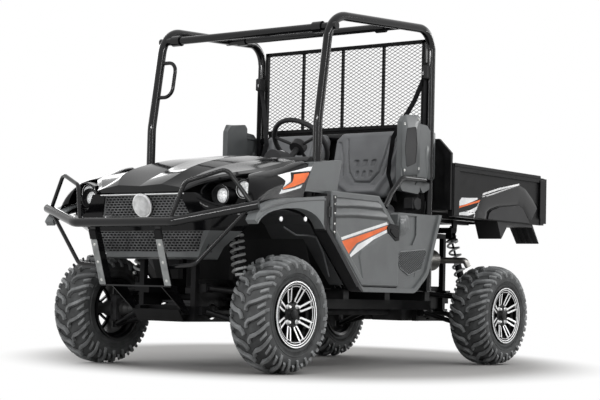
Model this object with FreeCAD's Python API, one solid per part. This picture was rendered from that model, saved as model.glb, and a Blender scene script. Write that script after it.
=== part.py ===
import FreeCAD, Part
import math
import os

# Side by side utility vehicle: two seats, open roll cage, tilting cargo bed.
# Frame: +X forward, +Y to the vehicle's left, +Z up, millimetres.
# Origin on the ground, half way between the axles, on the centre plane.

V = FreeCAD.Vector
os.makedirs("parts", exist_ok=True)

# ---------------------------------------------------------------- driving dimensions
WHEELBASE = 2150.0          # front axle to rear axle
TRACK = 1245.0              # centre of tyre to centre of tyre
HALF_LENGTH = 1626.0        # origin to the foremost and the rearmost point
TYRE_R = 306.0              # standing radius of a 25 inch tyre
FRONT_TYRE_W = 236.0
REAR_TYRE_W = 264.0
RIM_R = 171.0               # over the flange of a 12 inch rim
FRAME_Z0 = 330.0            # underside of the main rails
RAIL_H = 58.0
RAIL_W = 50.0
RAIL_Y = 315.0              # centre of each main rail
CAB_HALF = 660.0            # half width over the cab sills
BODY_Y = 735.0              # outer face of fenders, bed and trim
CAGE_R = 25.0               # roll cage tube
CAGE_FRONT_X = 745.0
CAGE_REAR_X = -322.0
CAGE_Y_FRONT = 597.0
CAGE_Y_REAR = 635.0
CAGE_TOP_FRONT = 1930.0
CAGE_TOP_REAR = 1985.0
SKIN = 5.0                  # moulded panels
FIT = 0.3                   # clearance between seated pieces
GAP = 6.0                   # running gap round doors, lids and the bed

AXLE_F = WHEELBASE / 2
AXLE_R = -WHEELBASE / 2
WHEEL_Y = TRACK / 2


# ---------------------------------------------------------------- helpers
def box(x0, x1, y0, y1, z0, z1):
    """Box between two corners."""
    return Part.makeBox(x1 - x0, y1 - y0, z1 - z0, V(x0, y0, z0))


def prism(points, direction):
    """Closed outline of corner points pushed along a direction."""
    ring = [V(*p) for p in points]
    return Part.Face(Part.makePolygon(ring + ring[:1])).extrude(V(*direction))


def side_prism(points, y0, y1):
    """Outline given as (x, z), from y0 to y1."""
    return prism([(x, y0, z) for x, z in points], (0, y1 - y0, 0))


def cross_prism(points, x0, x1):
    """Outline given as (y, z), from x0 to x1."""
    return prism([(x0, y, z) for y, z in points], (x1 - x0, 0, 0))


def plan_prism(points, z0, z1):
    """Outline given as (x, y), from z0 to z1."""
    return prism([(x, y, z0) for x, y in points], (0, 0, z1 - z0))


def rod(a, b, r):
    """Round bar from point a to point b."""
    a, b = V(*a), V(*b)
    return Part.makeCylinder(r, (b - a).Length, a, b - a)


def path(points, bends):
    """Wire of straight runs joined by tangent arcs; bends holds one radius per inner point."""
    p = [V(*q) for q in points]
    edges = []
    start = p[0]
    for i, radius in enumerate(bends, 1):
        a = (p[i - 1] - p[i]).normalize()
        b = (p[i + 1] - p[i]).normalize()
        half = a.getAngle(b) / 2
        reach = radius / math.tan(half)
        t0, t1 = p[i] + a * reach, p[i] + b * reach
        middle = (a + b).normalize() * (radius / math.sin(half) - radius) + p[i]
        edges.append(Part.LineSegment(start, t0).toShape())
        edges.append(Part.Arc(t0, middle, t1).toShape())
        start = t1
    edges.append(Part.LineSegment(start, p[-1]).toShape())
    return Part.Wire(edges)


def tube(points, r, bend):
    """Bent round tube along points, each corner rounded with the bend radius."""
    bends = bend if isinstance(bend, (list, tuple)) else [bend] * (len(points) - 2)
    wire = path(points, bends)
    start, nxt = V(*points[0]), V(*points[1])
    ring = Part.Wire(Part.makeCircle(r, start, nxt - start))
    return wire.makePipeShell([ring], True, False)


def turned(profile, centre, axis=V(0, 1, 0)):
    """Solid of revolution: profile of (radius, station) corners about an axis through centre."""
    ring = [V(r, 0, s) for r, s in profile]
    face = Part.Face(Part.makePolygon(ring + ring[:1]))
    solid = face.revolve(V(0, 0, 0), V(0, 0, 1), 360)
    solid.Placement = FreeCAD.Placement(V(*centre), FreeCAD.Rotation(V(0, 0, 1), axis))
    return solid


def rounded(points, radii):
    """Closed (x, z) outline as a wire at y = 0 with the given radius at each corner."""
    n = len(points)
    p = [V(x, 0, z) for x, z in points]
    ends, edges = [], []
    for i, radius in enumerate(radii):
        if radius == 0:
            ends.append((p[i], None, p[i]))
            continue
        a, b = (p[i - 1] - p[i]).normalize(), (p[(i + 1) % n] - p[i]).normalize()
        half = a.getAngle(b) / 2
        reach = radius / math.tan(half)
        mid = p[i] + (a + b).normalize() * (radius / math.sin(half) - radius)
        ends.append((p[i] + a * reach, mid, p[i] + b * reach))
    for i, (first, mid, last) in enumerate(ends):
        if mid:
            edges.append(Part.Arc(first, mid, last).toShape())
        following = ends[(i + 1) % n][0]
        if (following - last).Length > 1e-6:
            edges.append(Part.LineSegment(last, following).toShape())
    return Part.Wire(edges)


def slab(wire, y0, y1):
    """Flat panel: an outline in the X-Z plane from y0 to y1."""
    face = Part.Face(wire)
    face.translate(V(0, y0, 0))
    return face.extrude(V(0, y1 - y0, 0))


def outline(*runs):
    """Closed wire in the X-Z plane from runs of (x, z) points that end where the next begins.

    A run of two points is straight; a longer one is a smooth curve through its points."""
    edges = []
    for run in runs:
        points = [V(x, 0, z) for x, z in run]
        if len(points) == 2:
            edges.append(Part.LineSegment(*points).toShape())
        else:
            curve = Part.BSplineCurve()
            curve.interpolate(points)
            edges.append(curve.toShape())
    return Part.Wire(edges)


def lifted(points, dz, dx=0.0):
    """Outline points moved up by dz and forward by dx."""
    return [(x + dx, z + dz) for x, z in points]


def mirror(shape):
    """The same piece on the other side of the centre plane."""
    return shape.mirror(V(0, 0, 0), V(0, 1, 0))


def both(shape):
    """A left piece and its mirror image."""
    return [shape, mirror(shape)]


def fuse(shapes):
    """One solid from pieces that touch or overlap."""
    first, rest = shapes[0], shapes[1:]
    return first.fuse(rest).removeSplitter() if rest else first


def cut(shape, tools):
    """Shape with each tool taken out of it."""
    return shape.cut(Part.makeCompound(tools)) if tools else shape


def save(node, shapes):
    """Writes the node's solids to its own STEP file."""
    solids = []
    for shape in shapes:
        solids += shape.Solids
    whole = solids[0] if len(solids) == 1 else Part.makeCompound(solids)
    whole.exportStep("parts/" + node + ".step")
    b = whole.BoundBox
    print("%-18s %2d solids  x %6.0f %6.0f  y %6.0f %6.0f  z %6.0f %6.0f  valid %s" % (
        node, len(solids), b.XMin, b.XMax, b.YMin, b.YMax, b.ZMin, b.ZMax, whole.isValid()))


# ---------------------------------------------------------------- wheels
SPOKES = 8
HUB_R = 40.0
SPINDLE_R = 17.0
SPINDLE_FIT = 0.3
DISC_IN = 34.0              # hub of the wheel disc, inboard of the rim's outer flange
DISC_OUT = 6.0              # the dished disc's outer edge, inboard of the same flange
DISC_T = 12.0
# windows between the spokes and slots along each: inner and outer radius, half width at each
WINDOW_R, WINDOW_HALF = (58.0, 139.0), (4.0, 36.0)
SLOT_R, SLOT_HALF = (72.0, 139.0), (6.0, 10.0)
# axle: x, tyre width, rim width
WHEEL_SETS = {
    "front": (AXLE_F, FRONT_TYRE_W, 222.0),
    "rear": (AXLE_R, REAR_TYRE_W, 245.0),
}


def tyre(axle):
    """Hollow tyre carcass with a crowned tread and bulged walls, open to the rim."""
    x, width, rim_w = WHEEL_SETS[axle]
    h, bead = width / 2, rim_w / 2 - 10 - FIT
    r0 = RIM_R - 16
    outer = [(r0, bead), (RIM_R + FIT, bead + 3), (RIM_R + 8, bead + 7), (218, h - 3), (248, h),
             (275, h - 6), (296, h - 26), (TYRE_R - 3, h * 0.45), (TYRE_R, 0)]
    wall = 14.0
    inner = [(TYRE_R - 24, 0), (TYRE_R - 26, h * 0.45), (274, h - 42), (262, h - 22), (248, h - wall),
             (218, h - wall - 2), (RIM_R + 8, bead - 10), (r0, bead - 14)]
    top = turned(outer + inner, (x, WHEEL_Y, TYRE_R))
    bottom = top.mirror(V(x, WHEEL_Y, TYRE_R), V(0, 1, 0))
    return top.fuse(bottom).removeSplitter()


def rim(axle):
    """Rim barrel with a dished disc of split spokes and a hub bore, seated inside the tyre's beads."""
    x, _, rim_w = WHEEL_SETS[axle]
    y0 = WHEEL_Y - rim_w / 2
    seat = RIM_R - 16 - FIT
    w = rim_w
    barrel = turned([
        (RIM_R, w), (RIM_R, w - 7), (seat, w - 10), (seat, w - 34), (seat - 12, w - 44),
        (seat - 12, 44), (seat, 34), (seat, 10), (RIM_R, 7), (RIM_R, 0), (RIM_R - 6, 0),
        (seat - 5, 8), (seat - 5, 36), (seat - 17, 48), (seat - 17, w - 46), (seat - 5, w - 34),
        (seat - 5, w - 6), (RIM_R - 6, w)], (x, y0, TYRE_R))
    back = w - DISC_IN
    disc = turned([
        (0, back - 10), (HUB_R + 8, back - 10), (seat - 2, w - DISC_OUT - DISC_T),
        (seat - 2, w - DISC_OUT), (seat - 10, w - DISC_OUT), (HUB_R + 14, back + 2), (HUB_R, back + 4),
        (HUB_R - 6, back + 14), (0, back + 14)], (x, y0, TYRE_R))
    windows = []
    for k in range(SPOKES):
        wide = math.radians(360.0 / SPOKES)
        for turn, inner, outer, half_in, half_out in (
                (0.0, *WINDOW_R, *WINDOW_HALF), (wide / 2, *SLOT_R, *SLOT_HALF)):
            c, s = math.cos(k * wide + turn), math.sin(k * wide + turn)
            ring = []
            for r, side in ((inner, -half_in), (outer, -half_out), (outer, half_out), (inner, half_in)):
                ring.append((x + r * c - side * s, y0, TYRE_R + r * s + side * c))
            windows.append(prism(ring, (0, rim_w + 40, 0)))
    bore = rod((x, y0 - 1, TYRE_R), (x, y0 + back + 4, TYRE_R), SPINDLE_R + SPINDLE_FIT)
    return fuse([barrel, cut(disc, windows)]).cut(bore)


def wheel_disc_back(axle):
    """Where the hub face of the wheel disc lies across the vehicle."""
    return WHEEL_Y + WHEEL_SETS[axle][2] / 2 - DISC_IN - 10


for axle_name in WHEEL_SETS:
    left_tyre, left_rim = tyre(axle_name), rim(axle_name)
    save("tyre_" + axle_name + "_left", [left_tyre])
    save("tyre_" + axle_name + "_right", [mirror(left_tyre)])
    save("rim_" + axle_name + "_left", [left_rim])
    save("rim_" + axle_name + "_right", [mirror(left_rim)])

# ---------------------------------------------------------------- suspension
KINGPIN_Y = 520.0
BALL_LOW = 218.0
BALL_HIGH = 402.0
ARM_R = 15.0
BUSH_R = 20.0
BUSH_L = 44.0
ARM_SPREAD = 120.0
PIVOT_LOW = (218.0, 312.0)      # y, z of the lower arm pivots
PIVOT_HIGH = (238.0, 430.0)     # y, z of the upper arm pivots
SOCKET_T = 17.0                 # half height of the ball sockets
SEAT_OFF = 24.0                 # from the ball's centre to the knuckle's seat
STEER_ARM = 95.0               # tie rod pin behind the kingpin
TIE_Y = KINGPIN_Y - 26.0        # the tie rod's eye stands inboard of the rim's edge
TIE_Z = 350.0
RACK_Z = TIE_Z + 24.0
RACK_X = AXLE_F - STEER_ARM
RACK_R = 13.0
CASE_HALF = 120.0


def knuckle(axle):
    """Upright with two ball seats and a wheel spindle; the front one has a steering arm."""
    x, z = WHEEL_SETS[axle][0], TYRE_R
    low, high = BALL_LOW + SEAT_OFF, BALL_HIGH - SEAT_OFF
    hub_face = wheel_disc_back(axle) - FIT
    pieces = [
        cross_prism([(KINGPIN_Y - 16, low), (KINGPIN_Y + 16, low), (KINGPIN_Y + 34, z - 30),
                     (KINGPIN_Y + 34, z + 30), (KINGPIN_Y + 16, high), (KINGPIN_Y - 16, high)], x - 22, x + 22),
        rod((x, KINGPIN_Y, low), (x, KINGPIN_Y, low + 20), 21),
        rod((x, KINGPIN_Y, high - 20), (x, KINGPIN_Y, high), 21),
        rod((x, KINGPIN_Y + 10, z), (x, KINGPIN_Y + 70, z), 42),
        rod((x, KINGPIN_Y + 60, z), (x, hub_face, z), 30),
        rod((x, KINGPIN_Y, z), (x, hub_face + 14, z), SPINDLE_R)]
    if axle == "front":
        pieces.append(plan_prism([
            (RACK_X - 16, TIE_Y - 14), (RACK_X + 12, TIE_Y - 14), (x, KINGPIN_Y - 14),
            (x, KINGPIN_Y + 14), (RACK_X - 16, TIE_Y + 14)], TIE_Z - 6, TIE_Z + 6))
    return fuse(pieces)


def arm(x, pivot, ball_z, lug_y):
    """A-arm: two bushes on the frame, two legs, a ball socket and stud; lug_y adds a shock lug."""
    y0, z0 = pivot
    up = 1 if ball_z < TYRE_R else -1
    pieces = [rod((x, KINGPIN_Y, ball_z - SOCKET_T), (x, KINGPIN_Y, ball_z + SOCKET_T), 24),
              rod((x, KINGPIN_Y, ball_z), (x, KINGPIN_Y, ball_z + up * (SEAT_OFF - FIT)), 8)]
    for side in (-1, 1):
        bx = x + side * ARM_SPREAD
        pieces.append(rod((bx - BUSH_L / 2, y0, z0), (bx + BUSH_L / 2, y0, z0), BUSH_R))
        pieces.append(rod((bx, y0, z0), (x, KINGPIN_Y, ball_z), ARM_R))
    if lug_y:
        t = (lug_y - y0) / (KINGPIN_Y - y0)
        half, z = ARM_SPREAD * (1 - t), z0 + (ball_z - z0) * t
        pieces.append(rod((x - half, lug_y, z), (x + half, lug_y, z), 12))
    return fuse(pieces)


# coil-over of each axle: axle x, y of the lower eye, y and z of the upper eye
SHOCK_SETS = {"front": (AXLE_F, 362.0, 318.0, 752.0), "rear": (AXLE_R, 448.0, 335.0, 800.0)}
SHOCK_R = 41.0
SHOCK_EYE_R = 15.0
SHOCK_COILS = 7


def shock_low_z(low_y):
    """Height of the lower eye, seated on the lug of the upper arm."""
    t = (low_y - PIVOT_HIGH[0]) / (KINGPIN_Y - PIVOT_HIGH[0])
    return PIVOT_HIGH[1] + (BALL_HIGH - PIVOT_HIGH[1]) * t + 12 + SHOCK_EYE_R + FIT


def shock(axle):
    """Coil-over: lower eye, damper body, coils as a grooved sleeve, rod and upper eye."""
    x, low_y, top_y, top_z = SHOCK_SETS[axle]
    a, b = V(x, low_y, shock_low_z(low_y)), V(x, top_y, top_z)
    length = (b - a).Length
    start, end = 48.0, length - 36.0
    pitch = (end - start) / SHOCK_COILS
    groove = SHOCK_R - 9
    profile = [(0, 6), (19, 6), (19, start - 9), (SHOCK_R, start - 7), (SHOCK_R, start)]
    for k in range(SHOCK_COILS):
        profile += [(groove, start + pitch * (k + 0.1)), (SHOCK_R, start + pitch * (k + 0.5)),
                    (groove, start + pitch * (k + 0.9))]
    profile += [(SHOCK_R, end), (SHOCK_R, end + 7), (13, end + 9), (13, length - 6), (0, length - 6)]
    coil = turned(profile, (a.x, a.y, a.z), b - a)
    eyes = [rod((p.x - 20, p.y, p.z), (p.x + 20, p.y, p.z), SHOCK_EYE_R) for p in (a, b)]
    return coil.fuse(eyes)


def half_shaft(x):
    """Drive shaft with a bellows boot at each end, from the gear case to the knuckle."""
    inner, outer = CASE_HALF + FIT, KINGPIN_Y - 52
    profile = [(0, inner), (38, inner), (38, inner + 30), (30, inner + 52), (32, inner + 60),
               (20, inner + 84), (12, inner + 92), (12, outer - 92), (20, outer - 84), (32, outer - 60),
               (30, outer - 52), (38, outer - 30), (38, outer), (0, outer)]
    return turned(profile, (x, 0, TYRE_R))


def rack_half():
    """Left half of the rack bar with its tie rod and the eye above the steering arm."""
    return [rod((RACK_X, 0, RACK_Z), (RACK_X, 190, RACK_Z), RACK_R),
            rod((RACK_X, 180, RACK_Z), (RACK_X, TIE_Y, RACK_Z), 9),
            rod((RACK_X, TIE_Y, TIE_Z + 6 + FIT), (RACK_X, TIE_Y, RACK_Z + 12), 14)]


arms = []
for axle in ("front", "rear"):
    arms += both(arm(WHEEL_SETS[axle][0], PIVOT_LOW, BALL_LOW, 0))
    arms += both(arm(WHEEL_SETS[axle][0], PIVOT_HIGH, BALL_HIGH, SHOCK_SETS[axle][1]))
save("suspension_arms", arms)
save("shocks", both(shock("front")) + both(shock("rear")))
left_knuckle = knuckle("front")
save("knuckle_left", [left_knuckle])
save("knuckle_right", [mirror(left_knuckle)])
save("rear_knuckles", both(knuckle("rear")))
save("half_shafts", both(half_shaft(AXLE_F)) + both(half_shaft(AXLE_R)))
left_half = rack_half()
save("tie_rods", [fuse(left_half + [mirror(s) for s in left_half])])

PLATE_Y = PIVOT_LOW[0] - 45      # outer face of the towers' side plates
PLATE_T = 8.0
HANGER_Y = PLATE_Y - PLATE_T - FIT
REAR_CASE_X = AXLE_R + 210.0
save("gearcases", [fuse([
    rod((AXLE_F, -CASE_HALF, TYRE_R), (AXLE_F, CASE_HALF, TYRE_R), 46),
    rod((AXLE_F - 150, 0, TYRE_R), (AXLE_F, 0, TYRE_R), 40),
    rod((AXLE_R, -CASE_HALF, TYRE_R), (AXLE_R, CASE_HALF, TYRE_R), 50),
    box(AXLE_R - 20, REAR_CASE_X, -CASE_HALF + 10, CASE_HALF - 10, TYRE_R - 50, TYRE_R + 110),
    rod((REAR_CASE_X, 0, TYRE_R), (AXLE_F - 150, 0, TYRE_R), 18),
    box(AXLE_F - 22, AXLE_F + 22, -HANGER_Y, HANGER_Y, TYRE_R + 42, TYRE_R + 56),
    box(AXLE_R - 18, AXLE_R + 22, -HANGER_Y, HANGER_Y, TYRE_R + 44, TYRE_R + 58)])])

# ---------------------------------------------------------------- chassis
TOWER_HALF = 172.0               # half length of a tower along the vehicle
UPRIGHT = 30.0
PLATE_TOP = 478.0
FOOT_BEAM = 80.0
TOWER_LOW = 256.0
BED_PIVOT = (AXLE_R - 260.0, 860.0)     # x, z of the bed hinge
BED_PIN_R = 12.0
OUTRIGGER_TOP = 440.0            # the cage posts and the cab floor stand on this
CAGE_FOOT_X = 505.0
CROSS_TOP = FRAME_Z0 + 100
# each tower: axle x, top of the tower
TOWERS = {"front": (AXLE_F, SHOCK_SETS["front"][3] + 18), "rear": (AXLE_R, SHOCK_SETS["rear"][3] + 18)}


def ears(x, pivot):
    """Ears either side of the two bushes of a left A-arm, out from the tower's side plate."""
    y0, z0 = pivot
    made = []
    for side in (-1, 1):
        for end in (-1, 1):
            inner = x + side * ARM_SPREAD + end * (BUSH_L / 2 + FIT)
            x0, x1 = sorted((inner, inner + end * 6.0))
            made.append(box(x0, x1, PLATE_Y - 2, y0 + 12, z0 - 22, z0 + 22))
    return made


def tower_side(axle):
    """Left side of one axle's tower: plate, uprights, top rail and the arms' ears."""
    x, top = TOWERS[axle]
    low_x, high_x = x - TOWER_HALF, x + TOWER_HALF
    left = [box(low_x, high_x, PLATE_Y - PLATE_T, PLATE_Y, TOWER_LOW, PLATE_TOP),
            box(low_x, high_x, PLATE_Y - PLATE_T, PLATE_Y + 32, top - UPRIGHT, top)]
    for x0 in (low_x, high_x - UPRIGHT):
        left.append(box(x0, x0 + UPRIGHT, PLATE_Y - PLATE_T, PLATE_Y + 24, TOWER_LOW, top))
    return left + ears(x, PIVOT_LOW) + ears(x, PIVOT_HIGH)


def tower_beams(axle):
    """Beams across one tower: two at the top, the shocks' cross beam with its ears, one at the outer foot."""
    x, top = TOWERS[axle]
    low_x, high_x = x - TOWER_HALF, x + TOWER_HALF
    _, _, eye_y, eye_z = SHOCK_SETS[axle]
    inner = PLATE_Y - PLATE_T
    beams = [box(x0, x0 + UPRIGHT, -inner, inner, top - UPRIGHT, top) for x0 in (low_x, high_x - UPRIGHT)]
    outer_x = high_x - UPRIGHT if axle == "front" else low_x
    beams.append(box(outer_x, outer_x + UPRIGHT, -inner, inner, TOWER_LOW, TOWER_LOW + FOOT_BEAM))
    seat = [box(x - 32, x + 32, -eye_y - 22, eye_y + 22, top, top + 34)]
    for side in (-1, 1):
        x0, x1 = sorted((x + side * 20.3, x + side * 26.3))
        for y in (-eye_y, eye_y):
            seat.append(box(x0, x1, y - 21, y + 21, eye_z - 20, top + 4))
    return beams + [fuse(seat)]


axle_holes = [rod((x, -PLATE_Y - 20, TYRE_R), (x, PLATE_Y + 20, TYRE_R), 42) for x in (AXLE_F, AXLE_R)]
rack_bore = rod((RACK_X, -PLATE_Y - 40, RACK_Z), (RACK_X, PLATE_Y + 40, RACK_Z), RACK_R + FIT)
rear_x, front_x = TOWERS["rear"][0] + TOWER_HALF, TOWERS["front"][0] - TOWER_HALF
tower_back, rear_top = TOWERS["rear"][0] - TOWER_HALF, TOWERS["rear"][1]
STUB_X = TOWERS["front"][0] + TOWER_HALF
BRACE_Y = (168.0, 175.0)
NOSE_BOTTOM = 586.0

# front tower with the steering rack's housing, the stubs for the brush guard and the nose's bracket
front_side = fuse(tower_side("front") + [
    box(STUB_X - 2, STUB_X + 115, PLATE_Y - PLATE_T, PLATE_Y + 18, NOSE_BOTTOM + SKIN + FIT, NOSE_BOTTOM + SKIN + 12)])
front_side = front_side.cut([axle_holes[0], rack_bore])
rack_housing = rod((RACK_X, PLATE_T - PLATE_Y, RACK_Z), (RACK_X, PLATE_Y - PLATE_T, RACK_Z), 23).cut(rack_bore)
stub = box(STUB_X, STUB_X + 64, BRACE_Y[0] - 40, BRACE_Y[0] - FIT, TOWER_LOW + 34, TOWER_LOW + FOOT_BEAM - 4)
save("front_tower", both(front_side) + tower_beams("front") + [rack_housing] + both(stub))

# rear tower with the bed's hinge ears and the cross member of the tow hitch
HITCH_Z = 405.0
HITCH_HALF = 31.75               # outside of a receiver for a two inch bar
pivot_x, pivot_z = BED_PIVOT
rear_side = fuse(tower_side("rear") + [
    box(pivot_x - 25, tower_back + 2, PLATE_Y - PLATE_T, PLATE_Y + 32, rear_top - UPRIGHT, rear_top),
    side_prism([(pivot_x - 25, rear_top - 4), (pivot_x + 60, rear_top - 4), (pivot_x + 18, pivot_z + 18),
                (pivot_x - 18, pivot_z + 18)], PLATE_Y + 10, PLATE_Y + 22)])
rear_side = rear_side.cut([axle_holes[1], rod((pivot_x, PLATE_Y - 10, pivot_z), (pivot_x, PLATE_Y + 40, pivot_z),
                                              BED_PIN_R + FIT)])
hitch_beam = box(tower_back - 40, tower_back, -PLATE_Y - 24, PLATE_Y + 24, HITCH_Z - 36, HITCH_Z + 36)
save("rear_tower", both(rear_side) + tower_beams("rear") + [hitch_beam])

# ladder frame: box rails, members between them, spines to the towers, outriggers across the top
rail_x0, rail_x1 = rear_x + 60, front_x - 60
rail = (RAIL_Y - RAIL_W / 2, RAIL_Y + RAIL_W / 2)
MEMBER = 50.0
SPINE_H = 30.0
ENGINE_X = (rail_x0 + 10, AXLE_R + 675)
ladder = both(box(rail_x0, rail_x1, *rail, FRAME_Z0, FRAME_Z0 + RAIL_H))
for x0 in (rail_x0, ENGINE_X[1] - MEMBER, 190.0, rail_x1 - MEMBER):
    ladder.append(box(x0, x0 + MEMBER, -rail[0], rail[0], FRAME_Z0 + 2, CROSS_TOP))
for x0, x1 in ((rear_x - 2 * TOWER_HALF, rail_x0), (rail_x1, front_x + 2 * TOWER_HALF)):
    ladder += both(box(x0, x1, 128, PLATE_Y - PLATE_T, CROSS_TOP - SPINE_H, CROSS_TOP))
OUTRIGGER_X = (CAGE_FOOT_X, 100.0, CAGE_REAR_X)
for x0 in OUTRIGGER_X:
    ladder.append(box(x0 - MEMBER / 2, x0 + MEMBER / 2, 22 - CAB_HALF, CAB_HALF - 22,
                      FRAME_Z0 + RAIL_H, OUTRIGGER_TOP))
save("chassis_frame", ladder)


# ---------------------------------------------------------------- roll cage
CAGE_KNEE = (CAGE_FRONT_X, 856.0)     # the front post bends back down to its foot here
POST_TOP_X = CAGE_FRONT_X - 91.0
POST_BEND_Z = 1345.0                  # above this the front post leans back


def hoop(r):
    """Left side hoop of radius r: foot, sloping leg, front post, roof rail and rear post in one tube."""
    base = OUTRIGGER_TOP + FIT
    shape = tube([(CAGE_FOOT_X, CAGE_Y_FRONT, base), (CAGE_KNEE[0], CAGE_Y_FRONT, CAGE_KNEE[1]),
                  (CAGE_FRONT_X, CAGE_Y_FRONT, POST_BEND_Z), (POST_TOP_X, CAGE_Y_FRONT, CAGE_TOP_FRONT),
                  (CAGE_REAR_X, CAGE_Y_REAR, CAGE_TOP_REAR), (CAGE_REAR_X, CAGE_Y_REAR, base)],
                 r, [110.0, 300.0, 165.0, 120.0])
    return shape.cut(box(CAGE_FOOT_X - 100, CAGE_FOOT_X + 100, 500, 700, base - 60, base))


left_hoop = hoop(CAGE_R)
feet = [box(x - 45, x + 45, y - 30, y + 30, OUTRIGGER_TOP + FIT, OUTRIGGER_TOP + FIT + 6)
        for x, y in ((CAGE_FOOT_X, CAGE_Y_FRONT), (CAGE_REAR_X, CAGE_Y_REAR))]
left_hoop = left_hoop.fuse(feet[:1]).fuse(feet[1:])
save("cage_hoops", both(left_hoop))

BAR_R = 22.0
# x, z of each bar's centre; a collar clamps each end of the ones with collars
BAR_SETS = {"front": (642.0, 1868.0, True), "middle": (30.0, 1958.0, True), "lower": (CAGE_REAR_X, 1372.0, False)}
around = hoop(CAGE_R + FIT)
bars = []
for x, z, collars in BAR_SETS.values():
    bar = rod((x, -CAGE_Y_REAR, z), (x, CAGE_Y_REAR, z), BAR_R)
    if collars:
        bar = fuse([bar, rod((x, 480, z), (x, 540, z), BAR_R + 9), rod((x, -540, z), (x, -480, z), BAR_R + 9)])
    bars.append(max(bar.cut([around, mirror(around)]).Solids, key=lambda s: s.Volume))
HANDLE_Z = (1530.0, 1735.0)
HANDLE_Y = CAGE_Y_FRONT - CAGE_R - 96
HANDLE_BEND = 56.0


def post_x(z):
    """Where the leaning front post's centre lies at height z."""
    return CAGE_FRONT_X + (POST_TOP_X - CAGE_FRONT_X) * (z - POST_BEND_Z) / (CAGE_TOP_FRONT - POST_BEND_Z)


handle_x = [post_x(z) for z in HANDLE_Z]
HANDLE_R = 11.0
handle = tube([(handle_x[1], -CAGE_Y_FRONT, HANDLE_Z[1]), (handle_x[1], -HANDLE_Y, HANDLE_Z[1]),
               (handle_x[0], -HANDLE_Y, HANDLE_Z[0]), (handle_x[0], -CAGE_Y_FRONT, HANDLE_Z[0])],
              HANDLE_R, HANDLE_BEND)
bars.append(max(handle.cut(mirror(around)).Solids, key=lambda s: s.Volume))
save("cage_bars", bars)

# rear screen: a frame of square tube with three ribs, held between the rear posts by stand-offs
SCREEN_X = (CAGE_REAR_X - 10, CAGE_REAR_X + 10)
SCREEN_Y = CAGE_Y_REAR - CAGE_R - 12
SCREEN_Z = (1412.0, 1932.0)
RAIL = 22.0
screen_hole = box(SCREEN_X[0] - 1, SCREEN_X[1] + 1, -SCREEN_Y + RAIL, SCREEN_Y - RAIL,
                  SCREEN_Z[0] + RAIL, SCREEN_Z[1] - RAIL)
screen = [box(*SCREEN_X, -SCREEN_Y, SCREEN_Y, *SCREEN_Z).cut(screen_hole)]
for y in (-300.0, 0.0, 300.0):
    screen.append(box(SCREEN_X[0] + 3, SCREEN_X[1] - 3, y - 8, y + 8, SCREEN_Z[0] + 2, SCREEN_Z[1] - 2))
screen.append(box(CAGE_REAR_X - 1, CAGE_REAR_X + 1, -SCREEN_Y + 5, SCREEN_Y - 5,
                  SCREEN_Z[0] + 5, SCREEN_Z[1] - 5))
for z in (SCREEN_Z[0] + 60, SCREEN_Z[1] - 150):
    for side in (-1, 1):
        y0, y1 = sorted((side * (SCREEN_Y - 2), side * (CAGE_Y_REAR - CAGE_R - FIT)))
        screen.append(box(CAGE_REAR_X - 8, CAGE_REAR_X + 8, y0, y1, z - 12, z + 12))
save("rear_screen", [fuse(screen)])

# ---------------------------------------------------------------- cab
CAB_REAR = CAGE_REAR_X - CAGE_R - 20
FIREWALL_X = 792.0
FLOOR_FRONT = 690.0
TUB = 4.0
DASH_TOP = 1150.0
floor_z = OUTRIGGER_TOP + FIT
floor = plan_prism([(CAB_REAR, -640), (440, -640), (440, -560), (FLOOR_FRONT, -560), (FLOOR_FRONT, 560),
                    (440, 560), (440, 640), (CAB_REAR, 640)], floor_z, floor_z + TUB)
COWL_Z = 1118.0
toe = side_prism([(FLOOR_FRONT, floor_z), (FIREWALL_X, 700), (FIREWALL_X, COWL_Z), (FIREWALL_X + 26, COWL_Z),
                  (FIREWALL_X + 26, COWL_Z + TUB), (FIREWALL_X - TUB, COWL_Z + TUB), (FIREWALL_X - TUB, 702),
                  (FLOOR_FRONT - TUB, floor_z + TUB)], -560, 560)
bulkhead = box(CAB_REAR, CAB_REAR + TUB, -600, 600, floor_z, SCREEN_Z[0] + 10)
post_gap = rod((CAGE_REAR_X, CAGE_Y_REAR, 400), (CAGE_REAR_X, CAGE_Y_REAR, 600), CAGE_R + FIT)
foot_gap = box(CAGE_REAR_X - 46, CAGE_REAR_X + 46, CAGE_Y_REAR - 31, CAGE_Y_REAR + 31, 430, 450)
HOOD_HINGE = (812.0, 1132.0)
HOOD_LUG_Y = 300.0
HOOD_PIN_R = 5.0
HOOD_LUG_HALF = 8.0
EAR_T = 6.0
hinge_x, hinge_z = HOOD_HINGE
hinge_ears, hinge_notches = [], []
for side in (-1, 1):
    middle = side * HOOD_LUG_Y
    for y0 in (middle - HOOD_LUG_HALF - FIT - EAR_T, middle + HOOD_LUG_HALF + FIT):
        hinge_ears.append(side_prism([
            (FIREWALL_X - TUB, 1040), (hinge_x - 4, 1050), (hinge_x + 8, hinge_z - 8), (hinge_x + 8, hinge_z + 8),
            (hinge_x - 8, hinge_z + 8), (FIREWALL_X - TUB, hinge_z - 20)], y0, y0 + EAR_T))
    hinge_ears.append(rod((hinge_x, middle - 14, hinge_z), (hinge_x, middle + 14, hinge_z), HOOD_PIN_R))
    hinge_notches.append(box(FIREWALL_X + 0.1, FIREWALL_X + 40, middle - 22, middle + 22, COWL_Z - 1, COWL_Z + 6))
toe = toe.cut(hinge_notches)
tub = cut(fuse([floor, toe, bulkhead] + hinge_ears), [post_gap, mirror(post_gap), foot_gap, mirror(foot_gap)])
save("cab_tub", tub.Solids)

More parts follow.
